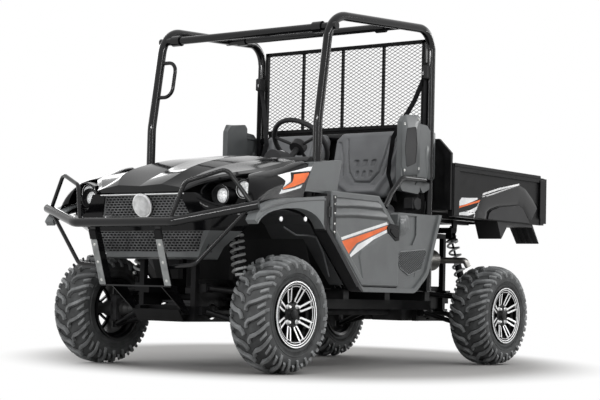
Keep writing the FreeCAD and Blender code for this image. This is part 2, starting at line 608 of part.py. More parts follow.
SEAT_BASE_FRONT = 150.0
SEAT_BASE_TOP = 855.0
floor_top = floor_z + TUB + FIT
seat_base = fuse([box(CAB_REAR + TUB + FIT, SEAT_BASE_FRONT, -560, 560, floor_top, SEAT_BASE_TOP),
                  side_prism([(SEAT_BASE_FRONT - 2, floor_top), (SEAT_BASE_FRONT - 2, SEAT_BASE_TOP),
                              (SEAT_BASE_FRONT + 140, SEAT_BASE_TOP), (SEAT_BASE_FRONT + 100, floor_top)],
                             -560, 560)])
hollow = side_prism([(CAB_REAR + TUB + 6, floor_top + 6), (CAB_REAR + TUB + 6, SEAT_BASE_TOP - 6),
                     (SEAT_BASE_FRONT + 132, SEAT_BASE_TOP - 6), (SEAT_BASE_FRONT + 94, floor_top + 6)], -554, 554)
save("seat_base", [seat_base.cut(hollow)])

SEAT_Y = (45.0, 515.0)
CUSHION_Z = (SEAT_BASE_TOP + FIT, 975.0)
cushion = side_prism([(-165, CUSHION_Z[0]), (300, CUSHION_Z[0]), (330, CUSHION_Z[0] + 40), (310, CUSHION_Z[1]),
                      (-165, CUSHION_Z[1] - 20)], *SEAT_Y)
save("seat_cushions", both(cushion))
BACK_LOW, BACK_TOP = 985.0, 1385.0
back_shape = cross_prism([(SEAT_Y[0] + 45, BACK_LOW), (SEAT_Y[1] - 45, BACK_LOW), (SEAT_Y[1], BACK_LOW + 60),
                          (SEAT_Y[1], BACK_TOP - 130), (SEAT_Y[1] - 60, BACK_TOP), (SEAT_Y[0] + 60, BACK_TOP),
                          (SEAT_Y[0], BACK_TOP - 130), (SEAT_Y[0], BACK_LOW + 60)], -400, 100)
back_rear = CAGE_REAR_X + BAR_R + FIT
lean = side_prism([(-112, BACK_LOW - 2), (-205, BACK_TOP + 2), (back_rear, BACK_TOP + 2), (back_rear, BACK_TOP - 40),
                   (-212, BACK_LOW - 2)], 0, 600)
save("seat_backs", both(back_shape.common(lean)))

# dashboard across the cab, cleared for the steering column
WHEEL_C = (431.0, 250.0, 1255.0)
COLUMN_TILT = math.radians(42.0)
COLUMN_DIR = (math.cos(COLUMN_TILT), 0.0, -math.sin(COLUMN_TILT))
COLUMN_R = 17.0
COLUMN_L = 330.0


def along_column(distance):
    """Point on the column's axis, below the wheel's centre."""
    return tuple(c + d * distance for c, d in zip(WHEEL_C, COLUMN_DIR))


dash_rear = FIREWALL_X - TUB - FIT
dash_side = outline([(dash_rear, 860), (dash_rear, DASH_TOP - 28)],
                    [(dash_rear, DASH_TOP - 28), (750, DASH_TOP - 4), (680, DASH_TOP), (610, DASH_TOP - 12)],
                    [(610, DASH_TOP - 12), (566, DASH_TOP - 48), (572, 1040), (600, 960), (650, 880)],
                    [(650, 880), (dash_rear, 860)])
dash = slab(dash_side, -560, 560)
# hood over the gauges in front of the driver
gauge_at = (596, WHEEL_C[1], DASH_TOP - 14)
gauge_hood = turned([(0, 0), (66, 0), (62, 96), (0, 104)], gauge_at, V(1, 0, 0.05))
gauge_dish = turned([(0, -5), (54, -5), (50, 14), (0, 14)], gauge_at, V(1, 0, 0.05))
tray = box(556, 640, -500, -90, 1000, 1060)
column_bore = rod(along_column(40), along_column(COLUMN_L + 30), COLUMN_R + 6)
bush = rod(along_column(196), along_column(240), COLUMN_R + 14)
dash = fuse([cut(fuse([dash, gauge_hood]), [column_bore, gauge_dish, tray]), bush])
dash = dash.cut(rod(along_column(180), along_column(280), COLUMN_R + FIT))
save("dashboard", [max(dash.Solids, key=lambda p: p.Volume)])

# steering wheel with three spokes on its column
WHEEL_R = 168.0
GRIP_R = 14.0
grip = Part.makeTorus(WHEEL_R, GRIP_R, V(*WHEEL_C), V(*COLUMN_DIR))
across = V(0, 1, 0)
down = V(*COLUMN_DIR).cross(across)
spokes = []
for angle in (20.0, 160.0, 270.0):
    reach = across * math.cos(math.radians(angle)) + down * math.sin(math.radians(angle))
    tip = V(*WHEEL_C) + reach * WHEEL_R
    hub = V(*along_column(26))
    spokes.append(rod(tuple(hub), tuple(tip), 9))
spokes.append(rod(along_column(8), along_column(48), 46))
spokes.append(rod(along_column(30), along_column(COLUMN_L), COLUMN_R))
save("steering_wheel", [fuse([grip] + spokes)])

# shoulder guards and hip bars beside the seats
GUARD_Y = (626.0, 660.0)
POST_FRONT = CAGE_REAR_X + CAGE_R + FIT
guard_line = [(19, 1012), (14, 1408), (-21, 1446), (-156, 1462), (-178, 1440), (-186, 1020), (-166, 1003)]
guard = slab(rounded(guard_line, [30, 24, 40, 24, 20, 16, 16]), *GUARD_Y)
recess = rounded([(-12, 1060), (-16, 1372), (-42, 1398), (-134, 1412), (-148, 1396), (-154, 1072), (-140, 1056)],
                 [16, 14, 24, 14, 12, 12, 12])
guard = guard.cut(slab(recess, GUARD_Y[1] - 5, GUARD_Y[1] + 1))
trim_line = [(-182, 1060), (-174, 1416), (-262, 1410), (POST_FRONT, 1380), (POST_FRONT, 1040), (-226, 1010)]
trim = slab(rounded(trim_line, [0, 20, 20, 0, 0, 20]), 640, 655)
stay = rod((-60, 643, 1380), (CAGE_REAR_X, 643, 1380), 10)
HIP_R = 14.0
HIP_LINE = [(205, 683, 905), (150, 683, 985), (40, 683, 1082), (-200, 683, 1086), (CAGE_REAR_X, 640, 1086)]
hip = tube(HIP_LINE, HIP_R, 60.0)
guards = fuse([guard, trim, stay]).cut([around, tube(HIP_LINE, HIP_R + FIT, 60.0)])
save("shoulder_guards", both(max(guards.Solids, key=lambda p: p.Volume)))
save("hip_bars", [max(h.cut([around, mirror(around)]).Solids, key=lambda p: p.Volume) for h in both(hip)])

# ---------------------------------------------------------------- body sides
SILL_Y = (CAGE_Y_REAR + CAGE_R - 4, BODY_Y)
DOOR_Y = (697.0, 728.0)
SILL_BAND = 26.0
SEAM_X = 140.0


# side opening of the cab, from the top front down and round to the top rear: corner x and z,
# how far it moves in x and z per millimetre of inset, corner radius
OPENING = [
    (836.0, 960.0, -1.00, 0.00, 0.0), (836.0, 745.0, -1.00, 0.42, 30.0), (505.0, 430.0, -0.40, 1.00, 70.0),
    (-40.0, 430.0, 0.35, 1.00, 90.0), (-172.0, 530.0, 0.95, 0.55, 120.0), (-328.0, 925.0, 1.07, 0.00, 0.0)]


def sill_face(inset):
    """Outline of the side opening brought in by inset, closed along the top."""
    corners = [(x + kx * inset, z + kz * inset) for x, z, kx, kz, _ in OPENING]
    radii = [max(row[4] - inset * 0.8, 8.0) if row[4] else 0 for row in OPENING]
    return rounded(corners, radii)


band = slab(sill_face(0), *SILL_Y).cut(slab(sill_face(SILL_BAND), SILL_Y[0] - 1, SILL_Y[1] + 1))
band = band.common(side_prism([(900, 380), (-400, 380), (-400, 886), (-300, 886), (700, 940), (900, 940)],
                              SILL_Y[0] - 5, SILL_Y[1] + 5))
ledge = slab(sill_face(SILL_BAND - 4), SILL_Y[0], SILL_Y[0] + 12).cut(
    slab(sill_face(SILL_BAND + 22), SILL_Y[0] - 1, SILL_Y[0] + 14)).common(
    side_prism([(900, 380), (-400, 380), (-400, 886), (-300, 886), (700, 880), (900, 880)], 600, 760))
HINGE = (800.0, 739.0)           # x, y of the door's hinge line
HINGE_Z = (800.0, 890.0)         # middle of the door's two hinge barrels
BARREL_R = 9.0
BARREL_HALF = 18.0
body_barrel = (HINGE_Z[0] + BARREL_HALF + FIT, HINGE_Z[1] - BARREL_HALF - FIT)
leaf = box(HINGE[0], 828, DOOR_Y[1] + 1, HINGE[1] + 3, *body_barrel)
pivot_barrel = rod((HINGE[0], HINGE[1], body_barrel[0]), (HINGE[0], HINGE[1], body_barrel[1]), BARREL_R)
sill = max(fuse([band, ledge, leaf, pivot_barrel]).Solids, key=lambda p: p.Volume)
sill = sill.cut(around)
save("sill_trims", both(max(sill.Solids, key=lambda p: p.Volume)))

clear = SILL_BAND + GAP
door_top = [(900, 400), (SEAM_X + GAP / 2, 400), (SEAM_X + GAP / 2, 792), (182, 806), (350, 962), (385, 978),
            (620, 968), (900, 950)]
door_outer = slab(sill_face(clear), *DOOR_Y).common(side_prism(door_top, 600, 800))
pocket = slab(sill_face(clear + 30), DOOR_Y[0] - 1, DOOR_Y[1] - 8).common(side_prism(
    [(900, 430), (SEAM_X + 32, 430), (SEAM_X + 32, 780), (375, 945), (900, 920)], 600, 800))
door = door_outer.cut(pocket)
hinges = []
for z in HINGE_Z:
    hinges.append(rod((HINGE[0], HINGE[1], z - BARREL_HALF), (HINGE[0], HINGE[1], z + BARREL_HALF), BARREL_R))
    hinges.append(box(HINGE[0] - 46, HINGE[0], DOOR_Y[1] - 4, HINGE[1] - 3, z - 14, z + 14))
latch = box(SEAM_X + 12, SEAM_X + 70, DOOR_Y[1] - 2, DOOR_Y[1] + 7, 735, 775)
DOOR_BULGE = 4.0
bands = [side_prism(lifted([(720, -7), (600, 4), (330 + reach, 2), (338 + reach, -4), (600, -4), (720, -12)], z),
                    DOOR_Y[1] - 1, DOOR_Y[1] + DOOR_BULGE) for z, reach in ((922, 10), (876, -40))]
bulge = slab(rounded([(SEAM_X + 18, 500), (SEAM_X + 18, 690), (300, 760), (470, 700), (470, 520), (430, 490)],
                     [14, 20, 40, 60, 40, 30]), DOOR_Y[1] - 1, DOOR_Y[1] + DOOR_BULGE)
door = fuse([door, latch, bulge] + bands + hinges)
save("door_left", [door])
save("door_right", [mirror(door)])

panel_top = [(SEAM_X - GAP / 2, 400), (SEAM_X - GAP / 2, 868), (120, 880), (-400, 884), (-400, 400)]
side_panel = slab(sill_face(SILL_BAND + FIT), SILL_Y[0] + 12 + FIT, 722).common(side_prism(panel_top, 600, 800))
inner_panel = slab(sill_face(SILL_BAND + 8), 660, 717).common(side_prism(
    [(SEAM_X - 12, 430), (SEAM_X - 12, 862), (-400, 870), (-400, 430)], 600, 800))
vent = side_prism([(95, 640), (-95, 655), (-45, 520), (75, 500)], 700, 740)
step = side_prism([(70, 700), (-20, 700), (-60, 760), (-60, 868), (70, 868)], 712, 740)
side_panel = side_panel.cut([inner_panel, vent, step])
step_floor = side_prism([(74, 696), (-22, 696), (-64, 760), (-64, 874), (74, 874)], 700, 713)
side_panel = fuse([side_panel, step_floor.cut(side_prism([(66, 704), (-18, 704), (-56, 764), (-56, 866),
                                                          (66, 866)], 690, 709))])
side_panel = side_panel.cut(around)
save("side_panels", both(max(side_panel.Solids, key=lambda p: p.Volume)))

# ---------------------------------------------------------------- front end
# fender: arch strip over the wheel with a rolled lip along its lower edge
SILL_FRONT = 836 + FIT
FENDER_TOP = [(1440, 772), (1402, 822), (1330, 862), (1200, 892), (1050, 906), (850, 926)]
FENDER_LOW = [(SILL_FRONT + 20, 748), (905, 800), (985, 836), (1090, 848), (1210, 840), (1310, 820), (1392, 782),
              (1420, 752)]
LIP_T = 4.0
SHELF_Y = 620.0                  # inner edge of the ledge under the shoulder
fender_face = outline(FENDER_TOP, [FENDER_TOP[-1], (SILL_FRONT, 926)], [(SILL_FRONT, 926), (SILL_FRONT, 748)],
                      [(SILL_FRONT, 748), FENDER_LOW[0]], FENDER_LOW, [FENDER_LOW[-1], FENDER_TOP[0]])
room_top = [(1402, 812), (1330, 852), (1200, 882), (1050, 896), (851, 916)]
room_low = [(851, 760), (905, 808), (985, 844), (1090, 856), (1210, 848), (1310, 828), (1392, 790)]
fender_room = outline(room_top, [room_top[-1], room_low[0]], room_low, [room_low[-1], room_top[0]])
lip = outline(FENDER_LOW, [FENDER_LOW[-1], (1426, 766)], [(1426, 766)] + lifted(FENDER_LOW[-2:0:-1], 11)
              + [(SILL_FRONT + 12, 752)], [(SILL_FRONT + 12, 752), FENDER_LOW[0]])
under_shelf = outline(room_top, [room_top[-1], (SILL_FRONT - 1, 916)], [(SILL_FRONT - 1, 916), (SILL_FRONT - 1, 700)],
                      [(SILL_FRONT - 1, 700), (1450, 700)], [(1450, 700), (1450, 790)], [(1450, 790), room_top[0]])
fender = slab(fender_face, SHELF_Y, BODY_Y).cut([slab(fender_room, SHELF_Y, BODY_Y - 8),
                                                 slab(under_shelf, SHELF_Y - 1, BODY_Y - 60)])
save("front_fenders", both(fender.fuse(slab(lip, BODY_Y - 2, BODY_Y + LIP_T))))

# wheel liner: curved sheet behind the fender, from the nose to the sill
LINER = [(1304, 818), (1200, 838), (1080, 842), (960, 826), (872, 780), (835, 735), (560, 470)]
liner_low = [(x - 2, z - 4) for x, z in reversed(LINER)]
liner = side_prism(LINER + liner_low, 350, 653).cut(box(400, FIREWALL_X + 12, 300, 560 + FIT, 300, 900))
save("wheel_liners", both(cut(liner, [hoop(CAGE_R + 2)])))

# upper body sides: gloss shoulder bulging out from the hood's edge, matte cowl side behind
OUTER_LAMP = (1296.0, 546.0, 937.0, 46.0)     # x of the lens, y, z, radius
INNER_LAMP = (1362.0, 460.0, 901.0, 46.0)
SIDE_Y = 690.0
# opening round the two lamps of one side, (y, z), and its corner radii
LAMP_FRAME = [(362, 922), (396, 966), (500, 992), (588, 990), (616, 936), (574, 862), (404, 824)]
LAMP_FRAME_R = [24, 34, 50, 30, 40, 34, 26]
LAMP_FRAME_X = (1432.0, 1306.0)     # its face's x at y 350 and at y 620
LAMP_FRAME_DEPTH = 81.0
LAMP_L = 90.0
LAMP_STEP = 6.0                  # how much thinner the barrel is than the lens
# x, inner edge y and z, crown y and z, and how low the outer face runs
SHOULDER_ROWS = [
    (1372.0, 628, 872, 668, 868, 800),
    (1290.0, 566, 1004, 652, 972, 800),
    (1200.0, 524, 1024, 650, 1004, 800),
    (1080.0, 546, 1050, 656, 1036, 800),
    (900.0, 556, 1096, 664, 1086, 800),
]


def shoulder_solid(inset):
    """Loft of the shoulder's rounded cross sections, all brought in by inset."""
    wires = []
    for x, y0, z0, y1, z1, low in SHOULDER_ROWS:
        inner_y = y0 - 2 * inset
        a, b = V(x, inner_y, z0 - inset), V(x, SIDE_Y - inset, z1 - 48)
        middle_point = V(x, y1 - inset * 0.7, z1 - inset)
        base, corner = V(x, SIDE_Y - inset, low - inset), V(x, inner_y, low - inset)
        wires.append(Part.Wire([Part.Arc(a, middle_point, b).toShape(), Part.LineSegment(b, base).toShape(),
                                Part.LineSegment(base, corner).toShape(), Part.LineSegment(corner, a).toShape()]))
    return Part.makeLoft(wires, True, False)


def lamp_gap(x, y, z, r, room):
    """Space round a lamp's barrel."""
    return rod((x - 160, y, z), (x + 160, y, z), r + room)


def frame_prism(points, radii, x0, x1):
    """Rounded outline given as (y, z), from x0 to x1."""
    turned_wire = rounded(points, radii)
    face = Part.Face(turned_wire)
    face.rotate(V(0, 0, 0), V(0, 0, 1), 90)
    face.translate(V(x0, 0, 0))
    return face.extrude(V(x1 - x0, 0, 0))


def drawn_in(points, distance):
    """Outline points drawn towards their middle by about the distance, or outwards when it is negative."""
    mid_y, mid_z = (sum(v) / len(points) for v in zip(*points))
    reach = [math.hypot(y - mid_y, z - mid_z) for y, z in points]
    return [(mid_y + (y - mid_y) * (1 - distance / r), mid_z + (z - mid_z) * (1 - distance / r))
            for (y, z), r in zip(points, reach)]


def frame_room(front, back):
    """Space between planes parallel to the lamp frame's slanted face, front and back of it."""
    (xa, xb), (ya, yb) = LAMP_FRAME_X, (350.0, 620.0)
    return plan_prism([(xa + front, ya), (xb + front, yb), (xb - back, yb), (xa - back, ya)], 760, 1060)


shell = frame_prism(LAMP_FRAME, LAMP_FRAME_R, 1100, 1500).common(frame_room(0, LAMP_FRAME_DEPTH))
fender_shadow = outline(lifted(FENDER_TOP, FIT), [(850, 926 + FIT), (780, 926 + FIT)], [(780, 926 + FIT), (780, 600)],
                        [(780, 600), (1440, 600)], [(1440, 600), (1440, 772 + FIT)])
shoulder_rear = side_prism([(985, 925), (908, 1105), (700, 1200), (700, 800), (985, 800)], 400, 800)
shoulder = cut(shoulder_solid(0.0), [shoulder_solid(SKIN), slab(fender_shadow, 400, 800), shoulder_rear,
                                     frame_prism(drawn_in(LAMP_FRAME, -4), LAMP_FRAME_R, 1240, 1500)])
save("fender_shoulders", both(max(shoulder.Solids, key=lambda p: p.Volume)))
COWL_Y = DOOR_Y[0] - GAP
cowl = side_prism([(903, 1100), (655, 1132), (648, 1120), (690, 948), (843, 945), (976, 945)], COWL_Y - 30, COWL_Y)
cowl_gap = side_prism([(895, 1093), (665, 1122), (698, 956), (843, 953), (967, 953)], COWL_Y - 34, COWL_Y - 6)
cowl_top = side_prism([(903, 1100), (655, 1132), (655, 1126), (903, 1094)], 564, 680)
cowl = fuse([cowl.cut(cowl_gap), cowl_top]).cut(around)
save("cowl_sides", both(max(cowl.Solids, key=lambda p: p.Volume)))

# hood: a shell lofted through smooth cross sections with two ridges and a shallow valley between them;
# each row gives x and the (y, z) of the centre line, ridge, band, shoulder and edge
HOOD_ROWS = [
    (1484.0, (0, 950), (150, 958), (270, 940), (292, 934), (306, 928)),
    (1400.0, (0, 994), (200, 1018), (262, 987), (350, 984), (378, 976)),
    (1300.0, (0, 1038), (202, 1062), (272, 1029), (440, 1020), (470, 1010)),
    (1180.0, (0, 1086), (195, 1097), (290, 1068), (476, 1044), (508, 1030)),
    (1000.0, (0, 1134), (188, 1134), (320, 1108), (500, 1084), (536, 1066)),
    (830.0, (0, 1162), (190, 1157), (380, 1141), (506, 1124), (544, 1100)),
]
HOOD_SKIN = 6.0
HOOD_SKIRT = 10.0
HOOD_REAR = HOOD_ROWS[-1][0]


def hood_solid(drop, base_drop):
    """Closed loft under the hood's surface, lowered by drop, with its base base_drop under the edge."""
    wires = []
    for x, *half in HOOD_ROWS:
        low = half[-1][1] - base_drop
        left = [(y - (drop if i >= 3 else 0), z - drop) for i, (y, z) in enumerate(half)]
        left.append((left[-1][0], low))
        ring = [V(x, -y, z) for y, z in reversed(left)] + [V(x, y, z) for y, z in left[1:]]
        wires.append(Part.makePolygon(ring + ring[:1]))
    return Part.makeLoft(wires, True, False)


hood = hood_solid(0.0, HOOD_SKIRT).cut(hood_solid(HOOD_SKIN, 60.0))
front_wall = hood_solid(0.0, HOOD_SKIRT).common(box(1476, 1500, -600, 600, 850, 1000))
rear_wall = hood_solid(0.0, HOOD_SKIRT).common(box(HOOD_REAR, HOOD_REAR + 6, -600, 600, 1000, 1200))
lugs = [box(hinge_x - 8, HOOD_REAR + 4, y - HOOD_LUG_HALF, y + HOOD_LUG_HALF, hinge_z - 8, hinge_z + 8)
        for y in (-HOOD_LUG_Y, HOOD_LUG_Y)]
pin_hole = rod((hinge_x, -400, hinge_z), (hinge_x, 400, hinge_z), HOOD_PIN_R + FIT)
hood = fuse([hood, front_wall, rear_wall] + lugs).cut(pin_hole)
save("hood", [max(hood.Solids, key=lambda p: p.Volume)])

# ---------------------------------------------------------------- nose
# fascia: a tub lofted between a front outline and a wider rear outline, half outlines as (y, z)
FASCIA_FRONT = (1470.0, [(0, NOSE_BOTTOM), (315, NOSE_BOTTOM), (352, 640), (430, 735), (455, 800), (400, 838),
                         (352, 912), (0, 920)])
FASCIA_REAR = (1352.0, [(0, 578), (345, 578), (400, 640), (590, 752), (628, 800), (600, 850), (372, 916), (0, 916)])
UPPER_GRILLE = [(-312, 786), (312, 786), (264, 904), (-264, 904)]
LOWER_GRILLE = [(-322, 612), (322, 612), (382, 722), (-382, 722)]


def half_ring(x, points, lean=0.0):
    """Closed wire from a half outline at station x, mirrored; lean moves low points rearwards."""
    ring = points + [(-y, z) for y, z in reversed(points) if y]
    top = max(z for _, z in points)
    wire = [V(x - lean * (top - z), y, z) for y, z in ring]
    return Part.makePolygon(wire + wire[:1])


LEAN = 0.30
tub_outer = Part.makeLoft([half_ring(*FASCIA_FRONT, LEAN), half_ring(*FASCIA_REAR, LEAN)], True, True)


def tub_inside(margin):
    """Room inside the fascia's skin, smaller all round by margin."""
    wires = []
    for (x, half), scale, back in ((FASCIA_FRONT, 0.975, 8.0), (FASCIA_REAR, 0.985, 12.0)):
        skin = SKIN + margin
        inside = [(y * scale - (margin if y else 0), z + (skin if z < 700 else -skin)) for y, z in half]
        wires.append(half_ring(x - back - (margin if back == 8.0 else 0), inside, LEAN))
    return Part.makeLoft(wires, True, True)


tub_inner = tub_inside(0.0)
grille_gaps = [cross_prism(g, 1200, 1600) for g in (UPPER_GRILLE, LOWER_GRILLE)]
fascia = cut(tub_outer.cut(tub_inner), grille_gaps)


hollow = frame_prism(drawn_in(LAMP_FRAME, 7), LAMP_FRAME_R, 1100, 1500).common(frame_room(20, LAMP_FRAME_DEPTH - 5))
fascia = fuse([cut(fascia, [shell, mirror(shell)]), shell, mirror(shell)])
seats = [hollow, lamp_gap(*INNER_LAMP, FIT - LAMP_STEP), lamp_gap(*OUTER_LAMP, FIT - LAMP_STEP)]
fascia = fascia.cut(seats + [mirror(s) for s in seats])
save("front_fascia", [max(fascia.Solids, key=lambda p: p.Volume)])

# grilles: thin plates behind the fascia's openings with rows of slots
GRILLE_T = 5.0
GRILLE_ROWS, GRILLE_SLOTS = 4, 5


def grille(opening):
    """Plate behind one opening, pierced by rows of slots and leaning with the fascia."""
    (_, z0), (y0, _), (y1, z1), _ = opening
    face_x, top = FASCIA_FRONT[0] - 8 - FIT, FASCIA_FRONT[1][-1][1]
    ring = [V(face_x - LEAN * (top - z), y * 1.04, z + (8 if z == z1 else -8)) for y, z in opening]
    plate = Part.Face(Part.makePolygon(ring + ring[:1])).extrude(V(-GRILLE_T, 0, 0))
    step = (z1 - z0) / GRILLE_ROWS
    slots = []
    for row in range(GRILLE_ROWS):
        z = z0 + step * (row + 0.5)
        reach = y0 + (y1 - y0) * (row + 0.5) / GRILLE_ROWS - 22
        width = 2 * reach / GRILLE_SLOTS
        for k in range(GRILLE_SLOTS):
            y = -reach + width * (k + 0.5)
            slots.append(box(1200, 1600, y - width / 2 + 6, y + width / 2 - 6, z - step / 2 + 5, z + step / 2 - 5))
    return cut(plate, slots).common(tub_inside(FIT))


save("grilles", [grille(UPPER_GRILLE), grille(LOWER_GRILLE)])

# lamps: a deep-rimmed projector over the cheek and a round outer lamp on each side
def lamp(x, y, z, r, rim_l, rim_r):
    """Round lamp facing forward, its domed lens at x inside a rim that stands rim_l proud and rim_r wide."""
    barrel = r - LAMP_STEP
    profile = [(0, -LAMP_L), (r * 0.7, -LAMP_L), (barrel, 8 - LAMP_L), (barrel, -12), (r, -6), (r, -4),
               (rim_r, 0.6 * rim_l - 4), (rim_r, rim_l - 4), (rim_r - 5, rim_l - 4), (r * 0.78, -10), (r * 0.6, -4),
               (0, 0)]
    return turned(profile, (x, y, z), V(1, 0, 0))


save("headlamps", both(lamp(*INNER_LAMP, 26.0, 54.0)) + both(lamp(*OUTER_LAMP, 10.0, 46.0)))

# ---------------------------------------------------------------- brush guard and skid plate
GUARD_R = 24.0
HOOP_R = 11.0
GUARD_X = HALF_LENGTH - GUARD_R
UP_Y = 226.0
main_bar = tube([(1416, 738, 847), (GUARD_X, 345, 758), (GUARD_X, -345, 758), (1416, -738, 847)], GUARD_R, 110.0)
upper_left = tube([(GUARD_X - 8, 312, 766), (1555, 372, 958), (1470, 572, 1026), (1424, 700, 852)], HOOP_R, 50.0)
lower_left = tube([(1434, 694, 834), (1500, 405, 546), (1490, UP_Y + 8, 532)], HOOP_R, 50.0)
upright = side_prism([(GUARD_X - 2, 772), (GUARD_X - 32, 786), (1440, 434), (1482, 434), (1502, 458)],
                     UP_Y - 17, UP_Y - 11)
face = side_prism([(GUARD_X - 2, 772), (GUARD_X - 8, 778), (1488, 434), (1494, 434)], UP_Y - 17, UP_Y + 19)
low_bar = box(1438, 1494, -UP_Y - 18, UP_Y + 18, 430, 438).cut(
    [rod((1466, y, 420), (1466, y, 450), 5.5) for y in (-120.0, 120.0)])
brace = side_prism([(1490, 436), (1380, 436), (1262, 300), (1306, 300)], *BRACE_Y)
guard_pieces = [main_bar, low_bar, upper_left, mirror(upper_left), lower_left, mirror(lower_left)]
for piece in (upright, face, brace):
    guard_pieces += [piece, mirror(piece)]
guard_all = fuse(guard_pieces)
save("brush_guard", guard_all.Solids)

SKID_T = 4.0
skid = side_prism([(1330, 316), (1290, TOWER_LOW - FIT), (880, TOWER_LOW - FIT), (880, TOWER_LOW - FIT - SKID_T),
                   (1292, TOWER_LOW - FIT - SKID_T), (1334, 313)], -160, 160)
save("skid_plate", [skid])

# ---------------------------------------------------------------- power unit
save("engine", [box(ENGINE_X[0], ENGINE_X[1], -200, 200, CROSS_TOP + FIT, 820)])
MUFFLER_Y, MUFFLER_Z = 330.0, 640.0
muffler_x = (AXLE_R + 215, AXLE_R + 515)
pipe_x = muffler_x[0] - 45
muffler = rod((muffler_x[1], MUFFLER_Y, MUFFLER_Z), (muffler_x[0], MUFFLER_Y, MUFFLER_Z), 66)
pipe = tube([(muffler_x[0] + 10, MUFFLER_Y, MUFFLER_Z), (pipe_x, MUFFLER_Y, MUFFLER_Z),
             (pipe_x, MUFFLER_Y + 215, MUFFLER_Z), (pipe_x - 15, MUFFLER_Y + 230, MUFFLER_Z - 40)],
            19, [24.0, 22.0])
link_x = muffler_x[0] + 160
link = rod((link_x, 196, MUFFLER_Z), (link_x, MUFFLER_Y - 30, MUFFLER_Z), 20)
save("exhaust", [fuse([muffler, pipe, link]).cut(box(ENGINE_X[0], ENGINE_X[1], -200.3, 200.3, 400, 821))])

# tow hitch: square receiver tube with a cross pin hole
HITCH_BORE = 51.6
HITCH_BACK = tower_back - 205.0
HITCH_PIN = (HITCH_BACK + 34, 16.0)
hitch = box(HITCH_BACK, tower_back - 40 - FIT, -HITCH_HALF, HITCH_HALF, HITCH_Z - HITCH_HALF, HITCH_Z + HITCH_HALF)
hitch = hitch.cut(box(HITCH_BACK - 1, tower_back - 80, -HITCH_BORE / 2, HITCH_BORE / 2,
                      HITCH_Z - HITCH_BORE / 2, HITCH_Z + HITCH_BORE / 2))
hitch = hitch.cut(rod((HITCH_PIN[0], -60, HITCH_Z), (HITCH_PIN[0], 60, HITCH_Z), HITCH_PIN[1] / 2))
save("hitch_receiver", [hitch])

# ---------------------------------------------------------------- cargo bed
BED_FRONT = -430.0
BED_REAR = AXLE_R - 491.0
BED_Z = (888.0, 1192.0)
BED_FLOOR_T = 4.0
BED_WALL = 32.0
GATE_T = 34.0
HEAD_TOP = 1348.0
floor_low = BED_Z[0] + 34
floor_half = BODY_Y - BED_WALL - FIT
bed_floor = box(BED_REAR, BED_FRONT, -floor_half, floor_half, floor_low, floor_low + BED_FLOOR_T)
ribs = [box(BED_REAR + 4, BED_FRONT - 4, y - 25, y + 25, BED_Z[0] + 4, floor_low + 1)
        for y in (-470, -155, 155, 470)]
pin_lugs = []
for side in (-1, 1):
    y0, y1 = sorted((side * (PLATE_Y + 24), side * (PLATE_Y + 38)))
    pin_lugs.append(side_prism([(BED_PIVOT[0] - 20, BED_PIVOT[1] - 20), (BED_PIVOT[0] + 20, BED_PIVOT[1] - 20),
                                (BED_PIVOT[0] + 30, floor_low + 1), (BED_PIVOT[0] - 30, floor_low + 1)], y0, y1))
    y2, y3 = sorted((side * (PLATE_Y + 2), side * (PLATE_Y + 38)))
    pin_lugs.append(rod((BED_PIVOT[0], y2, BED_PIVOT[1]), (BED_PIVOT[0], y3, BED_PIVOT[1]), BED_PIN_R))
GATE_HINGE = (BED_REAR - GAP - 10, BED_Z[0] - 2)      # x, z
GATE_BARREL = 60.0
GATE_SPLIT = 500.0               # bed's barrels end and the gate's begin this far out
GATE_BARREL_R = 9.0
gate_x, gate_z = GATE_HINGE
for side in (-1, 1):
    y0, y1 = sorted((side * (GATE_SPLIT - FIT), side * (GATE_SPLIT - GATE_BARREL)))
    pin_lugs.append(rod((gate_x, y0, gate_z), (gate_x, y1, gate_z), GATE_BARREL_R))
    pin_lugs.append(box(gate_x, BED_REAR + 8, y0, y1, gate_z - 3, gate_z + 3))
    pin_lugs.append(box(BED_REAR, BED_REAR + 8, y0, y1, gate_z - 3, floor_low + 2))
save("bed_floor", [fuse([bed_floor] + ribs + pin_lugs)])


def bed_side():
    """Left wall: pressed sheet with a boxed top rail, end posts and an outer bottom rail."""
    y0, y1 = BODY_Y - BED_WALL, BODY_Y
    sheet = box(BED_REAR, BED_FRONT, y1 - 14, y1 - 10, BED_Z[0], BED_Z[1])
    top = box(BED_REAR, BED_FRONT, y0, y1, BED_Z[1] - 30, BED_Z[1])
    low = box(BED_REAR, BED_FRONT, y0, y1 - 6, BED_Z[0], floor_low + BED_FLOOR_T)
    posts = [box(BED_REAR, BED_REAR + 42, y0, y1, BED_Z[0], BED_Z[1]),
             box(BED_FRONT - 62, BED_FRONT, y0, y1, BED_Z[0], BED_Z[1] + 12)]
    return fuse([sheet, top, low] + posts)


head = cross_prism([(-BODY_Y + 4, floor_low + BED_FLOOR_T + FIT), (BODY_Y - 4, floor_low + BED_FLOOR_T + FIT),
                    (BODY_Y - 4, 1262), (646, HEAD_TOP), (-646, HEAD_TOP), (-BODY_Y + 4, 1262)],
                   BED_FRONT + FIT, BED_FRONT + 22)
head = head.cut(cross_prism([(-690, 980), (690, 980), (690, 1245), (630, 1325), (-630, 1325), (-690, 1245)],
                            BED_FRONT + 6, BED_FRONT + 30))
save("bed_walls", both(bed_side()) + [head])

MUDGUARD_Y = (560.0, 722.0)


